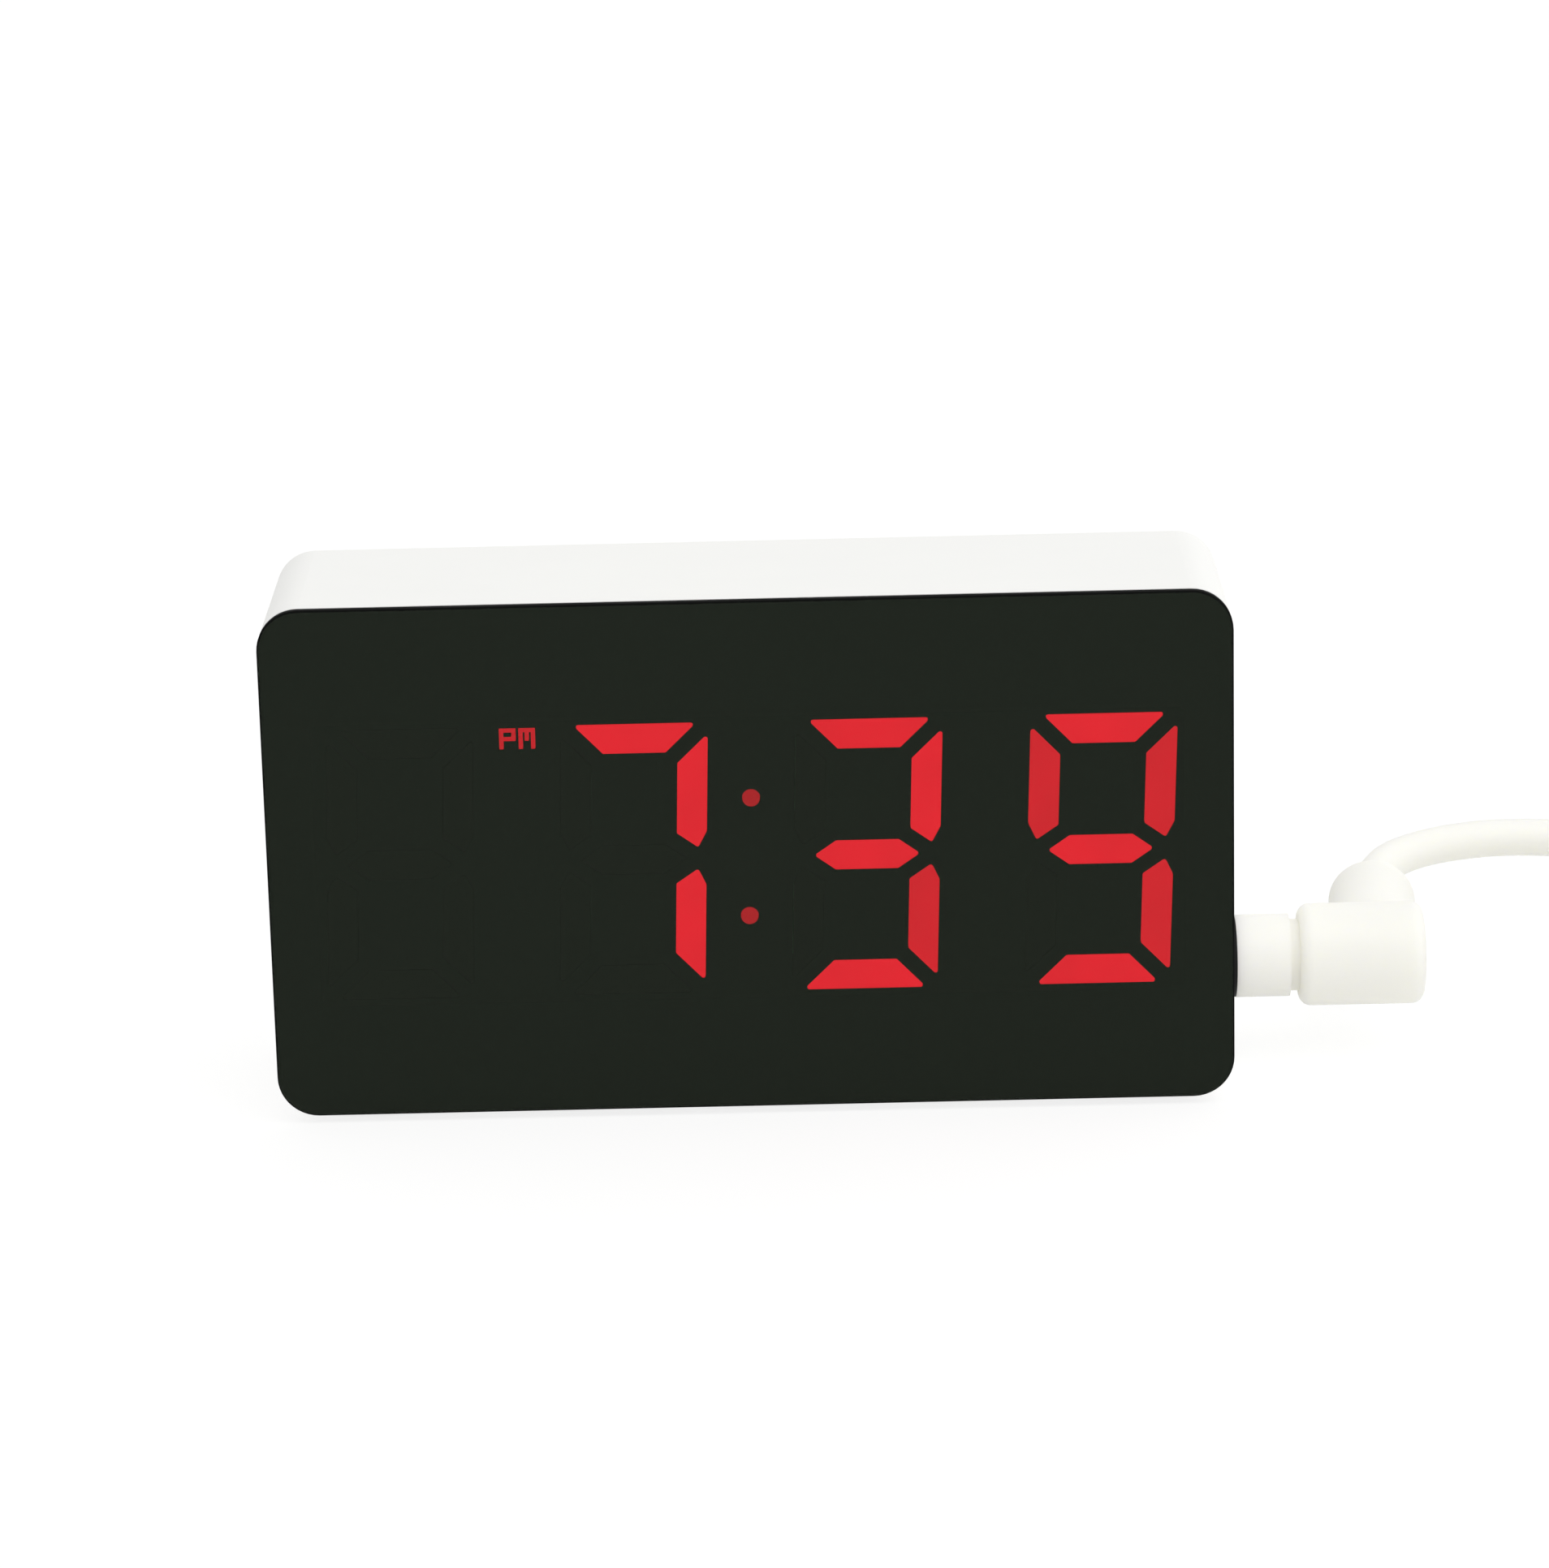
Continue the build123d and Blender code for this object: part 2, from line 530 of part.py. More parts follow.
def make_front():
    """The dark mirror panel, the tape that holds it, and the frame behind them."""
    panel = slab(rounded(CLOCK_WIDTH, CASE_HEIGHT, CORNER_RADIUS, 0, CASE_MID), FRONT_Y, PANEL_BACK_Y)
    panel = chamfer(panel.faces().sort_by(Axis.Y)[0].edges(), PANEL_EDGE_CHAMFER)
    window = rounded(WINDOW_WIDTH, WINDOW_HEIGHT, REFLECTOR_CORNER, 0, DIGIT_MID)
    tape_outline = rounded(
        CLOCK_WIDTH - 2 * TAPE_INSET, CASE_HEIGHT - 2 * TAPE_INSET, CORNER_RADIUS - TAPE_INSET, 0, CASE_MID
    )
    tape = slab(tape_outline - window, PANEL_BACK_Y, RIM_Y)
    frame_width = INNER_WIDTH - 2 * FIT_CLEARANCE
    frame_height = INNER_HEIGHT - 2 * FIT_CLEARANCE
    frame_outline = rounded(frame_width, frame_height, INNER_CORNER - FIT_CLEARANCE, 0, CASE_MID)
    frame = slab(frame_outline - window, RIM_Y, FRAME_BACK_Y)
    frame += [rod_y(POST_DIAMETER, x, FRAME_BACK_Y, BOARD_FRONT_Y, z) for x, z in POST_PLACES]
    frame += [rod_y(BOSS_DIAMETER, x, FRAME_BACK_Y, SEAM_Y, z) for x, z in BOSS_PLACES]
    post_bore = BOARD_SCREW_DIAMETER + 2 * SCREW_CLEARANCE
    boss_bore = CASE_SCREW_DIAMETER + 2 * SCREW_CLEARANCE
    frame -= [rod_y(post_bore, x, FRAME_BACK_Y, BOARD_FRONT_Y, z) for x, z in POST_PLACES]
    frame -= [rod_y(boss_bore, x, FRAME_BACK_Y, SEAM_Y, z) for x, z in BOSS_PLACES]
    return {"mirror_panel": panel, "panel_tape": tape, "front_frame": frame}


BOARD_SCREW = (BOARD_SCREW_DIAMETER, BOARD_SCREW_LENGTH, BOARD_SCREW_HEAD, BOARD_SCREW_HEAD_HEIGHT)
CASE_SCREW = (CASE_SCREW_DIAMETER, CASE_SCREW_LENGTH, CASE_SCREW_HEAD, CASE_SCREW_HEAD_HEIGHT)


def make_screw(x, z, y_seat, toward, sizes):
    """A pan-head screw along Y with a crossed slot: the shank points to -Y or +Y from its seat."""
    diameter, length, head, head_height = sizes
    tip = y_seat + toward * length
    top = y_seat - toward * head_height
    slot_floor = top + toward * CROSS_SLOT_DEPTH
    screw = rod_y(diameter, x, min(y_seat, tip), max(y_seat, tip), z)
    screw += rod_y(head, x, min(y_seat, top), max(y_seat, top), z)
    for wide, tall in ((CROSS_SLOT_LENGTH, CROSS_SLOT_WIDTH), (CROSS_SLOT_WIDTH, CROSS_SLOT_LENGTH)):
        screw -= slab(Pos(x, z) * Rectangle(wide, tall), min(top, slot_floor), max(top, slot_floor))
    return screw


def make_boards():
    """The display board, what is soldered to its back, and the screws that hold it."""
    wide = 2 * BOARD_HALF_WIDTH
    outline = Pos(0, (BOARD_BOTTOM + BOARD_TOP) / 2) * Rectangle(wide, BOARD_TOP - BOARD_BOTTOM)
    for side in (-1, 1):
        tab = Rectangle(BOARD_TAB_WIDTH, BOARD_TAB_RISE)
        outline += Pos(side * POST_X, BOARD_TOP + BOARD_TAB_RISE / 2) * tab
    board = slab(outline, BOARD_FRONT_Y, BOARD_BACK_Y)
    relief = BOSS_DIAMETER + 2 * BOARD_SIDE_GAP
    board -= [rod_y(relief, x, BOARD_FRONT_Y, BOARD_BACK_Y, z) for x, z in BOSS_PLACES]
    screw_hole = BOARD_SCREW_DIAMETER + 2 * FIT_CLEARANCE
    board -= [rod_y(screw_hole, x, BOARD_FRONT_Y, BOARD_BACK_Y, z) for x, z in POST_PLACES]
    screws = [make_screw(x, z, BOARD_BACK_Y, -1, BOARD_SCREW) for x, z in POST_PLACES]
    chip_outline = Pos(CHIP_X, DIGIT_MID) * Rectangle(CHIP_LENGTH, CHIP_WIDTH)
    chip = slab(chip_outline, BOARD_BACK_Y, BOARD_BACK_Y + CHIP_HEIGHT)
    crystal_y = BOARD_BACK_Y + CRYSTAL_DIAMETER / 2
    crystal = rod_x(CRYSTAL_DIAMETER, CRYSTAL_X, CRYSTAL_X + CRYSTAL_LENGTH, crystal_y, DIGIT_MID)
    capacitor = rod_y(
        CAPACITOR_DIAMETER, CAPACITOR_X, BOARD_BACK_Y, BOARD_BACK_Y + CAPACITOR_HEIGHT, DIGIT_MID
    )
    buzzer_x = INNER_X - BUZZER_INSET
    buzzer_z = CASE_BOTTOM + BUZZER_RISE
    buzzer_top = BOARD_BACK_Y + BUZZER_HEIGHT
    buzzer = rod_y(BUZZER_DIAMETER, buzzer_x, BOARD_BACK_Y, buzzer_top, buzzer_z)
    buzzer -= rod_y(SOUND_HOLE_DIAMETER, buzzer_x, buzzer_top - 1.0, buzzer_top, buzzer_z)
    return {
        "display_board": board,
        "board_screws": group(screws),
        "control_chip": chip,
        "clock_crystal": crystal,
        "supply_capacitor": capacitor,
        "buzzer": buzzer,
    }


def biarc_path(points, ways):
    """Pairs of tangent arcs through the points, along the given directions there."""
    arcs = []
    for start, end, way_in, way_out in zip(points, points[1:], ways, ways[1:]):
        chord = end - start
        both = way_in + way_out
        square = 2 * (1 - way_in.dot(way_out))
        linear = 2 * chord.dot(both)
        reach = (math.sqrt(linear**2 + 4 * square * chord.dot(chord)) - linear) / (2 * square)
        first = start + way_in * reach
        second = end - way_out * reach
        joint = (first + second) * 0.5
        arcs.append(TangentArc(start, joint, tangent=way_in))
        arcs.append(TangentArc(joint, end, tangent=(second - first).normalized()))
    return arcs


def curve_way(curve, at, step=1e-4):
    """The direction of a curve at a value of its parameter."""
    return (curve(at + step) - curve(at - step)).normalized()


def least_gap(curve, low, high, thickness, skip, samples=420):
    """The least clear distance of a wound tube to itself, past a given step of its parameter."""
    values = [low + (high - low) * i / samples for i in range(samples + 1)]
    places = [tuple(curve(value)) for value in values]
    apart = [
        math.dist(places[i], places[j])
        for i in range(len(values))
        for j in range(i)
        if values[i] - values[j] > skip
    ]
    return min(apart) - thickness


def round_tube(edges, diameter):
    """A round tube along a path of lines and arcs."""
    path = Wire(edges)
    section = Plane(origin=path @ 0, z_dir=path % 0) * Circle(diameter / 2)
    tube = sweep(section, path=path)
    share = tube.volume / (math.pi * (diameter / 2) ** 2 * path.length)
    print(f"tube of {path.length:.1f} mm, volume over section times length {share:.4f}")
    return tube


def spring_curve(x_base, toward, z):
    """A conical spring along X: radius and height grow steadily with the angle."""
    full = SPRING_QUARTERS * math.pi / 2
    rise = SPRING_LENGTH - SPRING_WIRE - 2 * CELL_REST_GAP

    def place(angle):
        share = angle / full
        radius = SPRING_BASE_RADIUS + (SPRING_TIP_RADIUS - SPRING_BASE_RADIUS) * share
        along = SPRING_WIRE / 2 + CELL_REST_GAP / 2 + rise * share
        return Vector(
            x_base + toward * along, CELL_AXIS_Y + radius * math.cos(angle), z + radius * math.sin(angle)
        )

    return place


def make_battery():
    """The cells, their contact plates and springs, the wires to the board, and the bay's door."""
    end_x = BAY_LENGTH / 2
    cells = []
    springs = []
    plates = []
    for i, z in enumerate(CELL_HEIGHTS):
        nub_side = 1 if i % 2 == 0 else -1
        tip = nub_side * (end_x - CONTACT_THICKNESS - CELL_REST_GAP)
        shoulder = tip - nub_side * CELL_NUB_LENGTH
        base = tip - nub_side * CELL_LENGTH
        cell = rod_x(CELL_DIAMETER, min(shoulder, base), max(shoulder, base), CELL_AXIS_Y, z)
        cell += rod_x(CELL_NUB_DIAMETER, min(shoulder, tip), max(shoulder, tip), CELL_AXIS_Y, z)
        cells.append(cell)
        curve = spring_curve(-nub_side * (end_x - CONTACT_THICKNESS), nub_side, z)
        angles = [k * math.pi / 2 for k in range(SPRING_QUARTERS + 1)]
        edges = biarc_path([curve(a) for a in angles], [curve_way(curve, a) for a in angles])
        springs.append(round_tube(edges, SPRING_WIRE))
        for side in (-1, 1):
            near, far = sorted((side * (end_x - CONTACT_THICKNESS), side * end_x))
            half = CONTACT_SIZE / 2
            plates.append(block(near, far, BAY_FLOOR_Y, CELL_AXIS_Y + half, z - half, z + half))
    print(f"spring least gap {least_gap(curve, 0, angles[-1], SPRING_WIRE, math.pi):.2f} mm")
    wires = [
        rod_y(WIRE_DIAMETER, side * WIRE_X, BOARD_BACK_Y, BAY_FLOOR_Y, CELL_HEIGHTS[row])
        for side, row in ((-1, 0), (1, -1))
    ]
    return {
        "battery_cells": group(cells),
        "battery_springs": group(springs),
        "battery_contacts": group(plates),
        "battery_wires": group(wires),
        "battery_door": make_door(),
    }


def make_door():
    """The bay's door: a plate with two hinge pins at its left end and a latch tongue at its right."""
    half = DOOR_LENGTH / 2
    front = BACK_Y - DOOR_THICKNESS
    plate = slab(Pos((HINGE_X + half) / 2, BAY_MID) * Rectangle(half - HINGE_X, DOOR_HEIGHT), front, BACK_Y)
    right = [edge for edge in plate.edges().filter_by(Axis.Y) if edge.center().X > 0]
    plate = fillet(right, DOOR_CORNER)
    low = BAY_MID - DOOR_HEIGHT / 2
    high = BAY_MID + DOOR_HEIGHT / 2
    plate += rod_z(DOOR_THICKNESS, HINGE_X, HINGE_Y, low, high)
    plate += rod_z(HINGE_PIN_DIAMETER, HINGE_X, HINGE_Y, low - HINGE_PIN_LENGTH, high + HINGE_PIN_LENGTH)
    for side in (-1, 1):
        z = BAY_MID + side * (LATCH_WIDTH + LATCH_SLOT) / 2
        plate -= block(half - LATCH_LENGTH, half, front, BACK_Y, z - LATCH_SLOT / 2, z + LATCH_SLOT / 2)
    step = LATCH_LENGTH / (LATCH_RIB_COUNT + 1)
    for i in range(LATCH_RIB_COUNT):
        x = half - step * (i + 1)
        plate -= block(
            x - LATCH_RIB_WIDTH / 2, x + LATCH_RIB_WIDTH / 2, BACK_Y - LATCH_RIB_DEPTH, BACK_Y,
            BAY_MID - LATCH_WIDTH / 2 + LATCH_SLOT, BAY_MID + LATCH_WIDTH / 2 - LATCH_SLOT,
        )
    return plate


def make_keys():
    """The row of buttons on the back, their switches and the small board that carries them."""
    outline = Pos(0, BUTTON_Z) * Rectangle(KEY_BOARD_LENGTH, KEY_BOARD_HEIGHT)
    board = slab(outline, KEY_BOARD_FRONT_Y, KEY_BOARD_BACK_Y)
    screw_hole = BOARD_SCREW_DIAMETER + 2 * FIT_CLEARANCE
    posts = [(side * KEY_POST_X, BUTTON_Z) for side in (-1, 1)]
    board -= [rod_y(screw_hole, x, KEY_BOARD_FRONT_Y, KEY_BOARD_BACK_Y, z) for x, z in posts]
    screws = [make_screw(x, z, KEY_BOARD_FRONT_Y, 1, BOARD_SCREW) for x, z in posts]
    nodes = {"key_board": board, "key_board_screws": group(screws)}
    switches = []
    plunger_end = SWITCH_TOP_Y - PLUNGER_DEPTH
    well_end = plunger_end - BUTTON_TRAVEL - PLUNGER_TRAVEL_ROOM
    well = PLUNGER_DIAMETER + 2 * PLUNGER_CLEARANCE
    for name, x in zip(BUTTON_NAMES, BUTTON_ROW):
        body = slab(rounded(SWITCH_SIZE, SWITCH_SIZE, 0.4, x, BUTTON_Z), KEY_BOARD_BACK_Y, SWITCH_TOP_Y)
        switches.append(body - rod_y(well, x, well_end, SWITCH_TOP_Y, BUTTON_Z))
        face = Pos(x, BUTTON_Z) * SlotOverall(BUTTON_LENGTH, BUTTON_WIDTH)
        cap = slab(face, FLANGE_BACK_Y, BACK_Y - BUTTON_INSET)
        cap = fillet(cap.faces().sort_by(Axis.Y)[-1].edges(), BUTTON_EDGE_RADIUS)
        flange = SlotOverall(BUTTON_LENGTH + 2 * BUTTON_FLANGE, BUTTON_WIDTH + 2 * BUTTON_FLANGE)
        cap += slab(Pos(x, BUTTON_Z) * flange, FLANGE_FRONT_Y, FLANGE_BACK_Y)
        cap += rod_y(PLUNGER_DIAMETER, x, PLUNGER_TOP_Y, FLANGE_FRONT_Y, BUTTON_Z)
        nodes[f"{name}_button"] = cap
        nodes[f"{name}_plunger"] = rod_y(PLUNGER_DIAMETER, x, plunger_end, PLUNGER_TOP_Y, BUTTON_Z)
    nodes["key_switches"] = group(switches)
    ribbon_z = BUTTON_Z - KEY_BOARD_HEIGHT / 2 + RIBBON_EDGE
    ribbon = Pos(0, ribbon_z) * Rectangle(RIBBON_WIDTH, RIBBON_THICKNESS)
    nodes["key_ribbon"] = slab(ribbon, BOARD_BACK_Y, KEY_BOARD_FRONT_Y)
    return nodes


def make_housing():
    """The white case: side walls and back in one, with the battery bay, bosses and openings."""
    housing = slab(rounded(CLOCK_WIDTH, CASE_HEIGHT, CORNER_RADIUS, 0, CASE_MID), RIM_Y, BACK_Y)
    housing = fillet(housing.faces().sort_by(Axis.Y)[-1].edges(), REAR_EDGE_RADIUS)
    housing -= slab(rounded(INNER_WIDTH, INNER_HEIGHT, INNER_CORNER, 0, CASE_MID), RIM_Y, INNER_BACK_Y)
    bay_outer = Pos(0, BAY_MID) * Rectangle(2 * BAY_OUTER_X, BAY_HEIGHT + 2 * BAY_WALL)
    housing += slab(bay_outer, BAY_FLOOR_Y - BAY_FLOOR, INNER_BACK_Y)
    housing += [rod_y(BOSS_DIAMETER, x, SEAM_Y, INNER_BACK_Y, z) for x, z in BOSS_PLACES]
    key_posts = [(side * KEY_POST_X, BUTTON_Z) for side in (-1, 1)]
    housing += [rod_y(KEY_POST_DIAMETER, x, KEY_BOARD_BACK_Y, INNER_BACK_Y, z) for x, z in key_posts]
    housing -= slab(Pos(0, BAY_MID) * Rectangle(BAY_LENGTH, BAY_HEIGHT), BAY_FLOOR_Y, BACK_Y)
    door_opening = rounded(
        DOOR_LENGTH + 2 * DOOR_CLEARANCE, DOOR_HEIGHT + 2 * DOOR_CLEARANCE, DOOR_CORNER, 0, BAY_MID
    )
    hinge_end = Pos(HINGE_X - DOOR_CLEARANCE, BAY_MID) * Rectangle(
        DOOR_THICKNESS, DOOR_HEIGHT + 2 * DOOR_CLEARANCE
    )
    housing -= slab(door_opening + hinge_end, INNER_BACK_Y, BACK_Y)
    pin_reach = DOOR_HEIGHT / 2 + HINGE_PIN_LENGTH + DOOR_CLEARANCE
    pin_hole = HINGE_PIN_DIAMETER + 2 * HINGE_CLEARANCE
    housing -= rod_z(pin_hole, HINGE_X, HINGE_Y, BAY_MID - pin_reach, BAY_MID + pin_reach)
    notch_x = DOOR_LENGTH / 2 + DOOR_CLEARANCE
    housing -= rod_y(2 * NOTCH_RADIUS, notch_x - NOTCH_RADIUS / 2, BACK_Y - NOTCH_DEPTH, BACK_Y, BAY_MID)
    wire_hole = WIRE_DIAMETER + 2 * FIT_CLEARANCE
    for side, row in ((-1, 0), (1, -1)):
        housing -= rod_y(wire_hole, side * WIRE_X, BAY_FLOOR_Y - BAY_FLOOR, BAY_FLOOR_Y, CELL_HEIGHTS[row])
    shank_hole = CASE_SCREW_DIAMETER + 2 * FIT_CLEARANCE
    housing -= [rod_y(shank_hole, x, SEAM_Y, BACK_Y, z) for x, z in BOSS_PLACES]
    housing -= [rod_y(BOSS_BORE, x, SCREW_SEAT_Y, BACK_Y, z) for x, z in BOSS_PLACES]
    post_bore = BOARD_SCREW_DIAMETER + 2 * SCREW_CLEARANCE
    housing -= [rod_y(post_bore, x, KEY_BOARD_BACK_Y, INNER_BACK_Y, z) for x, z in key_posts]
    recess_length = BUTTON_ROW[-1] - BUTTON_ROW[0] + BUTTON_LENGTH + 2 * RECESS_MARGIN
    recess = SlotOverall(recess_length, BUTTON_WIDTH + 2 * RECESS_MARGIN)
    housing -= slab(Pos(0, BUTTON_Z) * recess, BACK_Y - BUTTON_RECESS, BACK_Y)
    hole = SlotOverall(BUTTON_LENGTH + 2 * BUTTON_CLEARANCE, BUTTON_WIDTH + 2 * BUTTON_CLEARANCE)
    housing -= [slab(Pos(x, BUTTON_Z) * hole, INNER_BACK_Y, BACK_Y) for x in BUTTON_ROW]
    sound_x = INNER_X - BUZZER_INSET
    sound_z = CASE_BOTTOM + BUZZER_RISE
    sound_holes = [(sound_x, sound_z)]
    for i in range(SOUND_HOLE_COUNT):
        angle = 2 * math.pi * i / SOUND_HOLE_COUNT
        hole_x = sound_x + SOUND_HOLE_RING * math.cos(angle)
        sound_holes.append((hole_x, sound_z + SOUND_HOLE_RING * math.sin(angle)))
    housing -= [rod_y(SOUND_HOLE_DIAMETER, x, INNER_BACK_Y, BACK_Y, z) for x, z in sound_holes]
    nose_hole = SOCKET_NOSE_DIAMETER + 2 * FIT_CLEARANCE
    housing -= rod_x(nose_hole, INNER_X, WALL_X, SOCKET_Y, SOCKET_Z)
    foot_hole = FOOT_DIAMETER + 2 * FIT_CLEARANCE
    housing -= [rod_z(foot_hole, x, y, CASE_BOTTOM, CASE_BOTTOM + FOOT_RECESS) for x, y in foot_places()]
    return housing


def foot_places():
    """The middles of the four feet under the case."""
    x = WALL_X - FOOT_INSET_X
    y = CLOCK_DEPTH / 2 - FOOT_INSET_Y
    return [(side_x * x, side_y * y) for side_x in (-1, 1) for side_y in (-1, 1)]


def make_case():
    """The case, its screws and its feet."""
    screws = [make_screw(x, z, SCREW_SEAT_Y, -1, CASE_SCREW) for x, z in BOSS_PLACES]
    feet = [rod_z(FOOT_DIAMETER, x, y, 0, CASE_BOTTOM + FOOT_RECESS) for x, y in foot_places()]
    return {"housing": make_housing(), "case_screws": group(screws), "rubber_feet": group(feet)}


def make_socket():
    """The power socket on the board, with its nose in the wall and its centre pin."""
    half = SOCKET_WIDTH / 2
    socket = block(
        SOCKET_FACE_X - SOCKET_LENGTH, SOCKET_FACE_X, BOARD_BACK_Y, BOARD_BACK_Y + SOCKET_HEIGHT,
        SOCKET_Z - half, SOCKET_Z + half,
    )
    socket += rod_x(SOCKET_NOSE_DIAMETER, SOCKET_FACE_X, SOCKET_MOUTH_X, SOCKET_Y, SOCKET_Z)
    socket -= rod_x(2 * SOCKET_BORE_RADIUS, SOCKET_BORE_X, SOCKET_MOUTH_X, SOCKET_Y, SOCKET_Z)
    pin = rod_x(SOCKET_PIN_DIAMETER, SOCKET_BORE_X, SOCKET_BORE_X + SOCKET_PIN_LENGTH, SOCKET_Y, SOCKET_Z)
    return {"power_socket": socket, "socket_pin": pin}


def make_plug():
    """The angled plug: a metal barrel, a dark collar round it, and a white moulding that the cord leaves."""
    held_end = PLUG_FACE_X + BARREL_HELD_LENGTH
    barrel = rod_x(BARREL_DIAMETER, PLUG_FACE_X - BARREL_LENGTH, held_end, SOCKET_Y, SOCKET_Z)
    barrel_bore = SOCKET_PIN_DIAMETER + 2 * BARREL_CLEARANCE
    barrel -= rod_x(barrel_bore, PLUG_FACE_X - BARREL_LENGTH, PLUG_FACE_X, SOCKET_Y, SOCKET_Z)
    body = rod_x(PLUG_BODY_DIAMETER, PLUG_BODY_X, PLUG_END_X, SOCKET_Y, SOCKET_Z)
    body = fillet(body.edges(), PLUG_BODY_RADIUS)
    collar = rod_x(COLLAR_DIAMETER, PLUG_FACE_X, NECK_X, SOCKET_Y, SOCKET_Z)
    collar -= rod_x(BARREL_DIAMETER, PLUG_FACE_X, NECK_X, SOCKET_Y, SOCKET_Z)
    neck = rod_x(NECK_DIAMETER, NECK_X, GROOVE_X, SOCKET_Y, SOCKET_Z)
    groove = rod_x(GROOVE_DIAMETER, GROOVE_X, PLUG_BODY_X + PLUG_BODY_RADIUS, SOCKET_Y, SOCKET_Z)
    along = Plane(origin=BRANCH_ROOT, x_dir=(1, 0, 0), z_dir=BRANCH_WAY)
    upright = (Align.CENTER, Align.CENTER, Align.MIN)
    branch = Cylinder(BRANCH_DIAMETER / 2, BRANCH_LENGTH, align=upright)
    branch = fillet(branch.faces().sort_by(Axis.Z)[-1].edges(), BRANCH_END_RADIUS)
    cone = Cone(RELIEF_ROOT_DIAMETER / 2, RELIEF_TIP_DIAMETER / 2, RELIEF_LENGTH, align=upright)
    branch += Pos(0, 0, BRANCH_LENGTH) * cone
    moulding = body + neck + groove + along * branch
    moulding -= rod_x(BARREL_DIAMETER, NECK_X, held_end, SOCKET_Y, SOCKET_Z)
    return {"plug_barrel": barrel, "plug_collar": collar, "plug_moulding": moulding}


def coil_place(angle):
    """The coil: in on the upper layer, down over the half turn where it turns back, out on the lower."""
    swing = abs(angle - COIL_MID_ANGLE)
    quarter = math.pi / 2
    steady = swing if swing > quarter else swing**2 / math.pi + quarter / 2
    inner = COIL_OUTER_RADIUS - COIL_PITCH * COIL_TURNS / 2
    radius = inner + COIL_PITCH * steady / (2 * math.pi)
    share = min(1.0, max(0.0, (angle - COIL_MID_ANGLE + quarter) / math.pi))
    z = COIL_HIGH_Z - COIL_PITCH * share**2 * (3 - 2 * share)
    return Vector(COIL_X + radius * math.sin(angle), COIL_Y + radius * math.cos(angle), z)


COIL_END_ANGLE = 2 * math.pi * COIL_TURNS
COIL_IN_WAY = curve_way(coil_place, 0)
COIL_OUT_WAY = curve_way(coil_place, COIL_END_ANGLE)
COIL_IN = coil_place(0) - COIL_IN_WAY * CORD_DIAMETER
COIL_OUT = coil_place(COIL_END_ANGLE) + COIL_OUT_WAY * CORD_DIAMETER


def make_coil():
    """The put-away length of the cord as one unbroken tube."""
    angles = [k * math.pi / 2 for k in range(4 * COIL_TURNS + 1)]
    edges = biarc_path([coil_place(a) for a in angles], [curve_way(coil_place, a) for a in angles])
    edges.insert(0, Line(COIL_IN, coil_place(0)))
    edges.append(Line(coil_place(COIL_END_ANGLE), COIL_OUT))
    print(f"coil least gap {least_gap(coil_place, 0, COIL_END_ANGLE, CORD_DIAMETER, math.pi):.2f} mm")
    return round_tube(edges, CORD_DIAMETER)


def route_tube(points, name):
    """A cord stretch: straight runs joined by arcs as large as the runs allow."""
    radii = []
    for before, corner, after in zip(points, points[1:], points[2:]):
        first = corner - before
        second = after - corner
        half_turn = math.radians(first.get_angle(second)) / 2
        radii.append(TURN_FACTOR * min(first.length, second.length) / math.tan(half_turn))
    print(name, "radii", [round(r, 1) for r in radii])
    return round_tube(FilletPolyline(*points, radius=radii).edges(), CORD_DIAMETER)


def headed(points, runs, headings, rises):
    """A route carried on from its last point: each run has a length, a heading from +X and a rise."""
    for run, heading, rise in zip(runs, headings, rises):
        turn = math.radians(heading)
        points.append(points[-1] + Vector(run * math.cos(turn), run * math.sin(turn), rise))
    return points


def lead_route():
    """The free stretch, from the plug's branch to the coil."""
    start = [CORD_EXIT, CORD_EXIT + BRANCH_WAY * ROUTE_START_RUN]
    points = headed(start, ROUTE_RUNS, ROUTE_HEADINGS, ROUTE_RISES)
    return points + [COIL_IN - COIL_IN_WAY * ROUTE_LAST_RUN, COIL_IN]


def tail_route():
    """The short stretch from the coil to the USB plug."""
    first = math.degrees(math.atan2(COIL_OUT_WAY.Y, COIL_OUT_WAY.X))
    return headed([COIL_OUT], TAIL_RUNS, [first, *TAIL_HEADINGS], TAIL_RISES)


USB_START = tail_route()[-1]


def make_tie():
    """The strap round the coil's turns, on the side next to the clock."""
    beside = CORD_DIAMETER / 2 + TIE_CLEARANCE
    quarter = COIL_PITCH / 4
    outer = COIL_OUTER_RADIUS - quarter + beside
    inner = COIL_OUTER_RADIUS - COIL_PITCH * COIL_TURNS / 2 + quarter - beside
    top = COIL_HIGH_Z + CORD_DIAMETER / 2 + TIE_CLEARANCE
    wide = outer - inner
    tall = top - TIE_THICKNESS
    middle = (COIL_X - (outer + inner) / 2, (top + TIE_THICKNESS) / 2)
    strap = rounded(wide + 2 * TIE_THICKNESS, tall + 2 * TIE_THICKNESS, TIE_CORNER + TIE_THICKNESS, *middle)
    strap -= rounded(wide, tall, TIE_CORNER, *middle)
    return slab(strap, COIL_Y - TIE_WIDTH / 2, COIL_Y + TIE_WIDTH / 2)


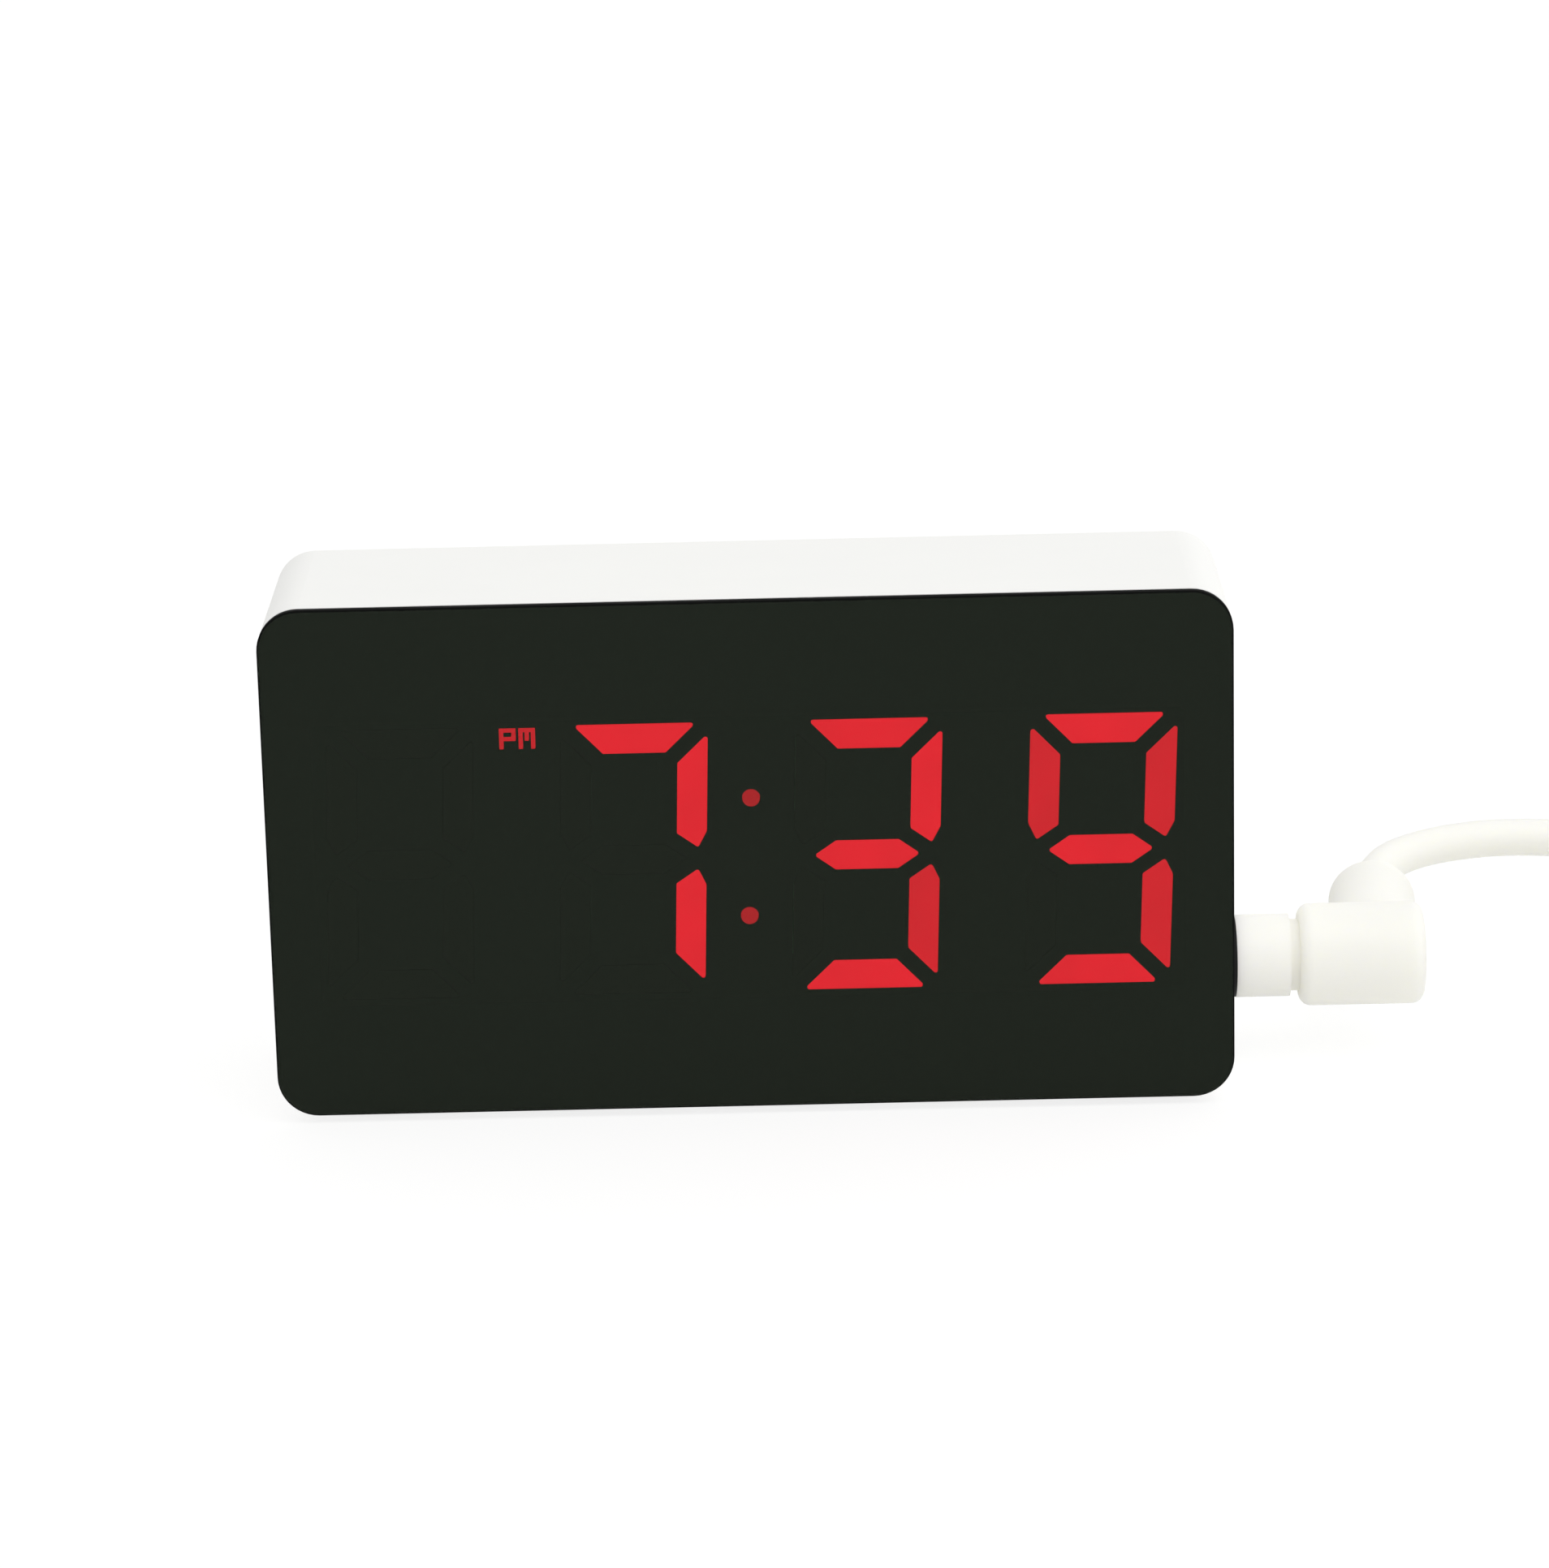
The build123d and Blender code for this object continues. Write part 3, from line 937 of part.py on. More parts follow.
def make_usb():
    """The USB plug at the far end, lying beside the coil and pointing to -Y."""
    x = USB_START.X
    z = USB_START.Z
    grip_back = USB_START.Y - USB_RELIEF_LENGTH
    grip_front = grip_back - USB_GRIP_LENGTH
    shell_front = grip_front - USB_SHELL_LENGTH
    grip = slab(Pos(x, z) * Rectangle(USB_GRIP_WIDTH, USB_GRIP_THICKNESS), grip_front, grip_back)
    grip = fillet(grip.edges(), USB_GRIP_RADIUS)
    relief = Cone(USB_RELIEF_DIAMETER / 2, RELIEF_TIP_DIAMETER / 2, USB_RELIEF_LENGTH)
    grip += Pos(x, USB_START.Y - USB_RELIEF_LENGTH / 2, z) * Rot(-90, 0, 0) * relief
    inner_width = USB_SHELL_WIDTH - 2 * USB_SHELL_WALL
    inner_height = USB_SHELL_HEIGHT - 2 * USB_SHELL_WALL
    shell = slab(Pos(x, z) * Rectangle(USB_SHELL_WIDTH, USB_SHELL_HEIGHT), shell_front, grip_front)
    shell -= slab(Pos(x, z) * Rectangle(inner_width, inner_height), shell_front, grip_front)
    hole_y = shell_front + USB_HOLE_INSET
    for side in (-1, 1):
        hole_x = x + side * USB_HOLE_SPACING / 2
        shell -= Pos(hole_x, hole_y, z) * Box(USB_HOLE_SIZE, USB_HOLE_SIZE, USB_SHELL_HEIGHT)
    low = z - inner_height / 2
    tongue_top = low + USB_TONGUE_THICKNESS
    half = inner_width / 2
    tongue = block(x - half, x + half, grip_front - USB_TONGUE_LENGTH, grip_front, low, tongue_top)
    contacts = []
    for i in range(USB_CONTACT_COUNT):
        contact_x = x + USB_CONTACT_PITCH * (i - (USB_CONTACT_COUNT - 1) / 2)
        contact_y = grip_front - USB_TONGUE_LENGTH / 2
        middle = Pos(contact_x, contact_y, tongue_top + USB_CONTACT_THICKNESS / 2)
        contacts.append(middle * Box(USB_CONTACT_WIDTH, USB_CONTACT_LENGTH, USB_CONTACT_THICKNESS))
    return {"usb_grip": grip, "usb_shell": shell, "usb_tongue": tongue, "usb_contacts": group(contacts)}


def make_lead():
    """The cord in its three stretches, its tie and the USB plug."""
    nodes = {
        "lead_cord": route_tube(lead_route(), "lead"),
        "lead_coil": make_coil(),
        "lead_tail": route_tube(tail_route(), "tail"),
        "lead_tie": make_tie(),
    }
    nodes.update(make_usb())
    return nodes


def main():
    """Makes every piece and writes each one to its own file."""
    nodes = {}
    for make in (make_front, make_display, make_boards, make_case, make_battery, make_keys, make_socket):
        nodes.update(make())
    nodes.update(make_plug())
    nodes.update(make_lead())
    os.makedirs("parts", exist_ok=True)
    for name, shape in nodes.items():
        export_step(shape, f"parts/{name}.step")
    print(f"{len(nodes)} nodes; clock {CLOCK_WIDTH:.2f} x {CLOCK_DEPTH:.2f} x {CASE_TOP:.2f} mm")
    print(f"door hinge at x {HINGE_X:.3f} y {HINGE_Y:.3f}, plug axis y {SOCKET_Y:.3f} z {SOCKET_Z:.3f}")
    print(f"cord leaves the plug at {CORD_EXIT.X:.3f} {CORD_EXIT.Y:.3f} {CORD_EXIT.Z:.3f}")
    print(f"coil about x {COIL_X:.3f} y {COIL_Y:.3f}, door middle z {BAY_MID:.3f}")
    print("feet", [(round(x, 3), round(y, 3)) for x, y in foot_places()])


main()
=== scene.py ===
"""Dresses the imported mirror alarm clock: its materials, its power cord, the strap on the cord's coil, the
ink behind its panel, the printed signs on its keys, and a plain studio to show it in. Lengths are in metres
unless a name or a comment says otherwise."""

import math

import bmesh
import bpy
import numpy as np
from mathutils import Euler, Matrix, Vector


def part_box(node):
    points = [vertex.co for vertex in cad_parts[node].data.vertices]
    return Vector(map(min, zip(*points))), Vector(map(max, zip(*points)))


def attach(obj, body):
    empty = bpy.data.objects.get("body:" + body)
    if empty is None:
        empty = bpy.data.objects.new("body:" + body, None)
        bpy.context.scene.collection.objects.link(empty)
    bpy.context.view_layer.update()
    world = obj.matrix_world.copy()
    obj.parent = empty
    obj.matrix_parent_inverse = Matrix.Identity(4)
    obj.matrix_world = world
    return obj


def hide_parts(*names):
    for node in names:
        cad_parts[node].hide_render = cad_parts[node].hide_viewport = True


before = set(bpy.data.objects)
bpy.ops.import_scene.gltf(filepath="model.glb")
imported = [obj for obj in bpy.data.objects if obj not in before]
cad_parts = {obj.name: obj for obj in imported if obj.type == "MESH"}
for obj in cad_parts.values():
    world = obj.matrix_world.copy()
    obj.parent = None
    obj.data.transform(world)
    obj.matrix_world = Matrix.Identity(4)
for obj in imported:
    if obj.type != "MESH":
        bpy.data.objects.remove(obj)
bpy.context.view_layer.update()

bl_info = {
    "name": "Mirror Alarm Clock",
    "version": (1, 0, 0),
    "blender": (4, 5, 0),
    "location": "View3D > Sidebar > Clock",
    "description": "Dresses a packed mirror alarm clock and its power lead",
    "category": "Object",
}

MM = 0.001
KEYS = ("mode", "up", "down", "alarm")

# The x and z of a point, its place as seen from the front
FRONT = [0, 2]

# Two points nearer than this are one
SAME_POINT = 1e-7

# The photograph's camera: focal length and the picture's longer side in pixels, place, and turn in degrees
FOCAL_PIXELS = 7140.577
PICTURE_PIXELS = 1932
SENSOR_MM = 36.0
CAMERA_PLACE = Vector((7.3555, -646.1008, 221.0340)) * MM
CAMERA_TURN = (73.93055, 1.35813, 0.0085)
NEAREST, FARTHEST = 0.01, 100.0

# The floor and the soft box
FLOOR_HALF = 4.0
FLOOR_DROP = 0.1 * MM
SOFT_BOX_PLACE = Vector((0.32, -0.38, 0.85))
SOFT_BOX_SIZE = 0.8

# The cord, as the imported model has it: runs and rises in millimetres, tilt, yaw and headings in degrees
CORD_EXIT = np.array([74.264, 21.163, 13.560]) * MM
EXIT_TILT, EXIT_YAW = 4.0, 5.5
EXIT_RUN = 4.0
FREE_RUNS = [4.2, 4.2, 4.4, 5.0, 6.4, 8.5, 10.0]
FREE_HEADINGS = [71.0, 57.0, 43.0, 31.0, 21.0, 12.0, 6.0]
FREE_RISES = [0.35, 0.25, 0.1, 0.0, -0.15, -0.8, -2.4]
COIL_MIDDLE = CORD_EXIT[:2] + np.array([61.0, -11.2]) * MM
COIL_POINTS_PER_TURN = 24
COIL_RUN_IN = 10.2
TAIL_RUNS = [12.0, 13.0, 13.0, 12.0, 10.0]
TAIL_HEADINGS = [-18.0, -42.0, -67.0, -90.0]
TAIL_RISES = [0.0, 0.2, 0.3, 0.4, 0.0]

# The strap: its end climbs on to its own start and passes some of its points a second time. Its lift and
# bevel are shares of its thickness
STRAP_CORNER = 2.0 * MM
STRAP_OVERLAP = 7.5 * MM
STRAP_CLIMB = 2.5 * MM
STRAP_SECOND_POINTS = 12
STRAP_LIFT = 1.15
STRAP_BEVEL = 0.3

# The digits, the colon dots and the ink behind the panel
DIGIT_LOW, DIGIT_HIGH = (corner[2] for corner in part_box("lit_segments"))
DIGIT_WIDTH = 16.6 * MM
DIGIT_PITCH = 26.6 * MM
DIGIT_LEAN = 2.0
BAR_REACH = 3.5 * MM
MIDDLE_BAR_HALF = 1.1 * MM
DOT_RADIUS = 1.0 * MM
DOT_POINTS = 64
PANEL_CORNER = 4.7 * MM
BLOCK_CORNER = 1.5 * MM
BORDER_INSET = 0.005 * MM
BORDER_OVERLAP = 0.7 * MM
BORDER_GAP = 0.01 * MM
BORDER_THICKNESS = 0.03 * MM

# The strength of the light in the bars, in those with weaker lamps, in the colon dots and in the PM mark
BARS_LIGHT, WEAK_BARS_LIGHT, DOTS_LIGHT, MARK_LIGHT = 1.29, 1.07, 0.64, 0.9

# A face of the panel looks forwards or back if this much of its normal does
SQUARE_ON = 0.9

# The signs on the keys, in millimetres about each sign's middle, and how the ink sits on a key
SIGN_POINTS = 40
LINE_HALF, LINE_RADIUS, LINE_HEIGHTS = 1.1, 0.26, (-1.0, 0.0, 1.0)
BELL_HALF, BELL_FLARE, BELL_RISE, BELL_DOME, BELL_SKIRT = 1.05, 0.35, 0.15, 1.35, 0.837
CLAPPER_RADIUS, CLAPPER_DROP = 0.34, 1.2
ARROW_CORNERS = np.array([(0.0, 1.15), (-1.25, -0.85), (1.25, -0.85), (0.0, 1.15)])
INK_SUNK, INK_PROUD = 0.02 * MM, 0.04 * MM

# Points on each corner and on each side of the strap's loop and of the ink border's outlines
STRAP_POINTS, BORDER_POINTS = (10, 12), (11, 1)

# A cloudy pattern's values lie mostly between these two
CLOUD = {"From Min": 0.3, "From Max": 0.7}

# A Mix node's colour inputs and output go by number, because its socket names repeat
MIX_SHARE, MIX_FIRST, MIX_SECOND, MIX_COLOUR = 0, 6, 7, 2


def linear(code):
    """An sRGB hex colour as linear red, green and blue."""
    shares = [int(code[i : i + 2], 16) / 255 for i in (1, 3, 5)]
    return tuple(s / 12.92 if s <= 0.04045 else ((s + 0.055) / 1.055) ** 2.4 for s in shares)


def shade(colour, share=1.0):
    """A linear colour made darker or paler by a share, with its alpha."""
    return tuple(min(1.0, c * share) for c in colour[:3]) + (1.0,)


def colour_setting(name, words, code):
    """A colour that a user may change."""
    return bpy.props.FloatVectorProperty(
        name=name, description=words, subtype="COLOR", size=3, min=0, max=1, default=linear(code)
    )


def length_setting(name, words, size_mm):
    """A length that a user may change, kept in metres."""
    return bpy.props.FloatProperty(
        name=name, description=words, subtype="DISTANCE", unit="LENGTH", precision=5, default=size_mm * MM
    )


def level_setting(name, words, level):
    """A level of light or colour that a user may change."""
    return bpy.props.FloatProperty(name=name, description=words, min=0, default=level)


class ClockColours(bpy.types.PropertyGroup):
    """Colours of the clock and its lead."""

    case_white: colour_setting("Case", "Moulded white case and battery door", "#F8F8F5")
    lead_white: colour_setting("Lead", "Soft white cord and plugs", "#FCFAF2")
    panel_tint: colour_setting("Panel", "Dark acrylic of the front", "#0C0F0A")
    digit_red: colour_setting("Digits", "Light of the lit bars", "#FF142D")
    key_grey: colour_setting("Keys", "Rear keys", "#C9CAC6")
    sign_grey: colour_setting("Signs", "Printed signs on the keys", "#3C3E40")
    strap_black: colour_setting("Strap", "Woven strap on the coil", "#1E1F21")
    board_green: colour_setting("Board", "Lacquer of the circuit boards", "#1F5A33")
    cell_sleeve: colour_setting("Cells", "Printed sleeve of the backup cells", "#4A6B8C")


class LeadSizes(bpy.types.PropertyGroup):
    """Sizes of the power lead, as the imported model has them."""

    diameter: length_setting("Diameter", "Thickness of the cord", 4.6)
    coil_radius: length_setting("Coil radius", "Radius of the coil's outermost turn", 34.0)
    coil_pitch: length_setting("Coil pitch", "Step from one turn to the next, and between the layers", 5.2)
    coil_lift: length_setting("Coil lift", "Room under the coil for its strap", 0.8)
    coil_turns: bpy.props.IntProperty(name="Turns", description="Turns of the coil", default=5, min=1)
    strap_width: length_setting("Strap width", "Width of the strap", 6.0)
    strap_thickness: length_setting("Strap thickness", "Thickness of the strap", 0.6)


class StageSettings(bpy.types.PropertyGroup):
    """The room that the clock is shown in."""

    floor_white: colour_setting("Floor", "Pale floor", "#FAFAF8")
    floor_glow: level_setting("Floor glow", "Light of the floor's own where it is seen", 0.8)
    floor_matt: level_setting("Floor shade", "Share of the floor's colour that shows shadows", 0.27)
    sky_left: level_setting("Light, left", "Room light from the left", 0.56)
    sky_right: level_setting("Light, right", "Room light from the right", 1.06)
    lamp_power: bpy.props.FloatProperty(
        name="Soft box", description="Power of the soft box", subtype="POWER", unit="POWER", default=2.0
    )


def add_node(tree, kind, fields=None):
    """Adds a node and gives back its outputs. Each field is one of its settings or inputs, by name or number:
    a value that is another node's output is linked, and any other is set."""
    made = tree.nodes.new(kind)
    for name, value in (fields or {}).items():
        if isinstance(value, bpy.types.NodeSocket):
            tree.links.new(value, made.inputs[name])
        elif isinstance(name, str) and hasattr(made, name):
            setattr(made, name, value)
        else:
            made.inputs[name].default_value = value
    return made.outputs


def empty_tree(holder):
    """The node tree of a material or a world, emptied."""
    holder.use_nodes = True
    holder.node_tree.nodes.clear()
    return holder.node_tree


def start_material(name):
    """A new material, its empty node tree, and the Object coordinates that its patterns read."""
    made = bpy.data.materials.new(name)
    tree = empty_tree(made)
    return made, tree, add_node(tree, "ShaderNodeTexCoord")["Object"]


def finish_material(made, fields):
    """Gives a material its one Principled shader, with the shader's inputs set or linked."""
    shader = add_node(made.node_tree, "ShaderNodeBsdfPrincipled", fields)["BSDF"]
    add_node(made.node_tree, "ShaderNodeOutputMaterial", {"Surface": shader})
    return made


def sized(coords, size_mm):
    """The place that a pattern reads, and the scale at which it repeats about once in a real size."""
    return {"Vector": coords, "Scale": 1 / (size_mm * MM)}


def moulded_plastic(
    name, colour, roughness, grain_mm=0.8, grain_depth_mm=0.012, mottle=0.02, sheen=0.5, soft=0.0
):
    """Moulded, extruded or printed plastic: a fine eroded grain, faint flow mottling and gloss that varies a
    little. Light wanders a few millimetres through soft vinyl."""
    flow_mm, gloss_spread = 14.0, 0.05
    made, tree, coords = start_material(name)
    flow = add_node(tree, "ShaderNodeTexNoise", {**sized(coords, flow_mm), "Detail": 3.0})["Fac"]
    share = add_node(tree, "ShaderNodeMapRange", {**CLOUD, "Value": flow})["Result"]
    shades = {MIX_SHARE: share, MIX_FIRST: shade(colour, 1 - mottle), MIX_SECOND: shade(colour)}
    paint = add_node(tree, "ShaderNodeMix", {"data_type": "RGBA", **shades})[MIX_COLOUR]
    ends = {"To Min": roughness - gloss_spread, "To Max": roughness + gloss_spread}
    gloss = add_node(tree, "ShaderNodeMapRange", {**CLOUD, "Value": flow, **ends})["Result"]
    grain = add_node(tree, "ShaderNodeTexNoise", {**sized(coords, grain_mm), "Detail": 1.0})["Fac"]
    relief = add_node(tree, "ShaderNodeBump", {"Height": grain, "Distance": grain_depth_mm * MM})["Normal"]
    return finish_material(
        made,
        {
            "Base Color": paint,
            "Roughness": gloss,
            "Normal": relief,
            "IOR": 1.5,
            "Specular IOR Level": sheen,
            "Subsurface Weight": soft,
            "Subsurface Radius": (1.0, 1.0, 0.8),
            "Subsurface Scale": 2.5 * MM,
        },
    )


def plated_metal(name, colour, roughness):
    """Plated steel or brass: bright, with faint tumbling marks, drawn coarse, that break up the shine."""
    marks_mm, gloss_spread, dulled = 3.0, 0.04, 0.94
    made, tree, coords = start_material(name)
    marks = add_node(tree, "ShaderNodeTexNoise", {**sized(coords, marks_mm), "Detail": 2.0})["Fac"]
    shades = {MIX_SHARE: marks, MIX_FIRST: shade(colour, dulled), MIX_SECOND: shade(colour)}
    paint = add_node(tree, "ShaderNodeMix", {"data_type": "RGBA", **shades})[MIX_COLOUR]
    ends = {"To Min": roughness - gloss_spread, "To Max": roughness + gloss_spread}
    gloss = add_node(tree, "ShaderNodeMapRange", {**CLOUD, "Value": marks, **ends})["Result"]
    return finish_material(made, {"Base Color": paint, "Roughness": gloss, "Metallic": 1.0})


def lit_diffuser(name, colour, strength):
    """Red diffuser plastic with a lamp behind it, whose light is a little uneven."""
    patch_mm, weak_patch, unlit = 6.0, 0.93, 0.1
    made, tree, coords = start_material(name)
    patch = add_node(tree, "ShaderNodeTexNoise", {**sized(coords, patch_mm), "Detail": 1.0})["Fac"]
    share = add_node(tree, "ShaderNodeMapRange", {**CLOUD, "Value": patch})["Result"]
    shades = {MIX_SHARE: share, MIX_FIRST: shade(colour, weak_patch), MIX_SECOND: shade(colour)}
    light = add_node(tree, "ShaderNodeMix", {"data_type": "RGBA", **shades})[MIX_COLOUR]
    return finish_material(
        made,
        {
            "Base Color": shade(colour, unlit),
            "Roughness": 0.5,
            "Specular IOR Level": 0.1,
            "Emission Color": light,
            "Emission Strength": strength,
        },
    )


def tinted_acrylic(name, colour):
    """Polished dark half-mirror acrylic: nearly black, clear enough for the digits, with faint smears and a
    slightly green shine."""
    smear_mm = 22.0
    made, tree, coords = start_material(name)
    smear = add_node(tree, "ShaderNodeTexNoise", {**sized(coords, smear_mm), "Detail": 2.0})["Fac"]
    ends = {"To Min": 0.02, "To Max": 0.05}
    gloss = add_node(tree, "ShaderNodeMapRange", {**CLOUD, "Value": smear, **ends})["Result"]
    return finish_material(
        made,
        {
            "Base Color": shade(colour),
            "Roughness": gloss,
            "Alpha": 0.45,
            "IOR": 1.49,
            "Specular IOR Level": 0.475,
            "Specular Tint": shade(linear("#E9FFE2")),
        },
    )


def clear_back(name):
    """The back of the panel, which lies close to black foam and ink and so shows no shine of its own."""
    made = start_material(name)[0]
    return finish_material(made, {"Alpha": 0.0, "Roughness": 0.8, "Specular IOR Level": 0.0})


def circuit_board(name, colour):
    """Glass-fibre board with green lacquer: copper tracks run under it as slightly paler straight lines."""
    track_block_mm, track_depth_mm, over_copper = 30.0, 0.02, 1.9
    made, tree, coords = start_material(name)
    upright = {"Vector": coords, "Rotation": (math.pi / 2, 0, 0)}
    turned = add_node(tree, "ShaderNodeMapping", upright)["Vector"]
    layout = {"Mortar Size": 0.012, "Row Height": 0.06, "Brick Width": 0.42}
    tracks = add_node(tree, "ShaderNodeTexBrick", {**sized(turned, track_block_mm), **layout})["Fac"]
    shades = {MIX_SHARE: tracks, MIX_FIRST: shade(colour), MIX_SECOND: shade(colour, over_copper)}
    paint = add_node(tree, "ShaderNodeMix", {"data_type": "RGBA", **shades})[MIX_COLOUR]
    relief = add_node(tree, "ShaderNodeBump", {"Height": tracks, "Distance": track_depth_mm * MM})["Normal"]
    return finish_material(made, {"Base Color": paint, "Normal": relief, "Roughness": 0.35, "IOR": 1.5})


def printed_sleeve(name, colour):
    """Shrink sleeve of a can: a plain band of colour, a little worn, between two silver ends."""
    band_half_mm, band_edge_mm, wear_mm, rubbed = 12.0, 0.4, 5.0, 0.9
    made, tree, coords = start_material(name)
    along = add_node(tree, "ShaderNodeSeparateXYZ", {"Vector": coords})["X"]
    side = add_node(tree, "ShaderNodeMath", {"operation": "ABSOLUTE", 0: along})[0]
    edges = {"From Min": band_half_mm * MM, "From Max": (band_half_mm + band_edge_mm) * MM}
    bare = add_node(tree, "ShaderNodeMapRange", {"Value": side, **edges})["Result"]
    wear = add_node(tree, "ShaderNodeTexNoise", {**sized(coords, wear_mm), "Detail": 3.0})["Fac"]
    share = add_node(tree, "ShaderNodeMapRange", {**CLOUD, "Value": wear})["Result"]
    shades = {MIX_SHARE: share, MIX_FIRST: shade(colour), MIX_SECOND: shade(colour, rubbed)}
    worn = add_node(tree, "ShaderNodeMix", {"data_type": "RGBA", **shades})[MIX_COLOUR]
    bands = {MIX_SHARE: bare, MIX_FIRST: worn, MIX_SECOND: shade(linear("#B9BDC0"))}
    paint = add_node(tree, "ShaderNodeMix", {"data_type": "RGBA", **bands})[MIX_COLOUR]
    return finish_material(made, {"Base Color": paint, "Roughness": 0.28, "Metallic": 0.35})


def woven_strap(name, colour):
    """Woven nylon loop fabric: rows of threads, drawn coarse enough to show, with a painted highlight on
    their tops and painted shade in the gaps between them.
    """
    thread_mm, thread_depth_mm, painted_thread_highlight, painted_gap_shade = 0.7, 0.12, 1.7, 0.5
    made, tree, coords = start_material(name)
    threads = {**sized(coords, thread_mm), "Randomness": 0.35}
    weave = add_node(tree, "ShaderNodeTexVoronoi", threads)["Distance"]
    share = add_node(tree, "ShaderNodeMapRange", {"Value": weave, "From Max": 0.6})["Result"]
    # Painted highlight on the thread tops and painted shade in the gaps, from the weave pattern that also
    # makes the relief
    shades = {MIX_SHARE: share, MIX_FIRST: shade(colour, painted_thread_highlight), MIX_SECOND: shade(colour, painted_gap_shade)}
    paint = add_node(tree, "ShaderNodeMix", {"data_type": "RGBA", **shades})[MIX_COLOUR]
    depth = {"Strength": 0.8, "Distance": thread_depth_mm * MM}
    relief = add_node(tree, "ShaderNodeBump", {"Height": weave, **depth})["Normal"]
    cloth = {"Roughness": 0.85, "Sheen Weight": 0.4, "Sheen Roughness": 0.5}
    return finish_material(made, {"Base Color": paint, "Normal": relief, **cloth})


def soft_foam(name, colour, cell_mm, sheen=0.3):
    """Foam, rubber or other matt soft stuff: a fine pitted surface with little shine, painted darker in its
    pits as shade and paler on its raised parts as highlight.
    """
    pit_depth_mm, pit_shade, raised_highlight = 0.04, 0.7, 1.2
    made, tree, coords = start_material(name)
    pits = add_node(tree, "ShaderNodeTexNoise", {**sized(coords, cell_mm), "Detail": 3.0})["Fac"]
    # Painted shade in the pits and a painted highlight on the raised parts, from the pattern that also makes
    # the relief
    shades = {MIX_SHARE: pits, MIX_FIRST: shade(colour, pit_shade), MIX_SECOND: shade(colour, raised_highlight)}
    paint = add_node(tree, "ShaderNodeMix", {"data_type": "RGBA", **shades})[MIX_COLOUR]
    relief = add_node(tree, "ShaderNodeBump", {"Height": pits, "Distance": pit_depth_mm * MM})["Normal"]
    return finish_material(
        made, {"Base Color": paint, "Normal": relief, "Roughness": 0.9, "Specular IOR Level": sheen}
    )


def dress(material, *names):
    """Gives CAD nodes their material."""
    for name in names:
        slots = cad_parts[name].data.materials
        slots.clear()
        slots.append(material)


def dress_faces(name, material, chosen):
    """Gives some faces of a CAD node another material."""
    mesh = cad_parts[name].data
    mesh.materials.append(material)
    for face in mesh.polygons:
        if chosen(face):
            face.material_index = len(mesh.materials) - 1


def corners(node):
    """The lowest and the highest corner of a CAD node's box, as arrays."""
    return (np.array(corner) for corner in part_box(node))


def surface_piece(name, grids, material, body):
    """One closed mesh from grids of points: each grid's rows run round a section, and its faces join row to
    row. Doubled points are merged and all faces turned outwards."""
    points, faces, offset = [], [], 0
    for grid in grids:
        rows, columns = grid.shape[:2]
        here = np.arange(rows * columns).reshape(rows, columns) + offset
        beside = np.roll(here, -1, axis=1)
        faces.append(np.stack([here[:-1], beside[:-1], beside[1:], here[1:]], axis=-1).reshape(-1, 4))
        points.append(grid.reshape(-1, 3))
        offset += rows * columns
    mesh = bpy.data.meshes.new(name)
    mesh.from_pydata(np.concatenate(points), [], np.concatenate(faces).tolist())
    mesh.validate()
    shape = bmesh.new()
    shape.from_mesh(mesh)
    bmesh.ops.remove_doubles(shape, verts=shape.verts, dist=SAME_POINT)
    bmesh.ops.recalc_face_normals(shape, faces=shape.faces)
    shape.to_mesh(mesh)
    shape.free()
    mesh.materials.append(material)
    piece = bpy.data.objects.new(name, mesh)
    bpy.context.scene.collection.objects.link(piece)
    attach(piece, body)
    return piece


def circle(angles):
    """The points of a circle of radius 1 at some angles."""
    return np.stack([np.cos(angles), np.sin(angles)], axis=-1)


def at_depth(ring, depth):
    """A ring of points (x, z) as points (x, y, z), all at one depth y."""
    return np.insert(ring, 1, depth, axis=1)


def plate(ring, back, front):
    """The grid of a thin plate between two depths, with a ring of points (x, z) as its outline: both faces
    run from the ring to its middle."""
    middle = np.broadcast_to(ring.mean(0), ring.shape)
    rows = ((middle, back), (ring, back), (ring, front), (middle, front))
    return np.stack([at_depth(*row) for row in rows])


def rounded_loop(low, high, corner, corner_points, side_points):
    """The points (x, z) once round a rectangle between two corners, clockwise from the top right: a quarter
    circle at each corner, then even steps along the side to the next one."""
    arc = np.linspace(math.pi / 2, 0, corner_points, endpoint=False)
    steps = np.linspace(0, 1, side_points, endpoint=False)[:, None]
    signs = np.array([(1, 1), (1, -1), (-1, -1), (-1, 1)])
    centres = (low + high) / 2 + ((high - low) / 2 - corner) * signs
    loop = []
    for quarter, (here, ahead) in enumerate(zip(centres, np.roll(centres, -1, axis=0))):
        outward = -quarter * math.pi / 2
        loop.append(here + corner * circle(outward + arc))
        loop.append(here + steps * (ahead - here) + corner * circle(outward))
    return np.concatenate(loop)


def coil_points(lead, angles):
    """The coil: with the angle, the radius falls at a steady rate to the middle and grows again, and over the
    half turn in the middle the height drops from the upper layer to the lower one."""
    middle = math.pi * lead.coil_turns
    swing = np.abs(angles - middle)
    quarter = math.pi / 2
    steady = np.where(swing > quarter, swing, swing**2 / math.pi + quarter / 2)
    inner = lead.coil_radius - lead.coil_pitch * lead.coil_turns / 2
    radius = inner + lead.coil_pitch * steady / (2 * math.pi)
    share = np.clip((angles - middle + quarter) / math.pi, 0, 1)
    low = lead.coil_lift + lead.diameter / 2
    height = low + lead.coil_pitch * (1 - share**2 * (3 - 2 * share))
    x, y = COIL_MIDDLE
    return np.stack([x + radius * np.sin(angles), y + radius * np.cos(angles), height], axis=-1)


def coil_way(lead, angle):
    """The coil's direction at an angle, as a unit vector: from a point just before it to one just after."""
    step = 1e-4
    before, after = coil_points(lead, np.array([angle - step, angle + step]))
    return (after - before) / np.linalg.norm(after - before)


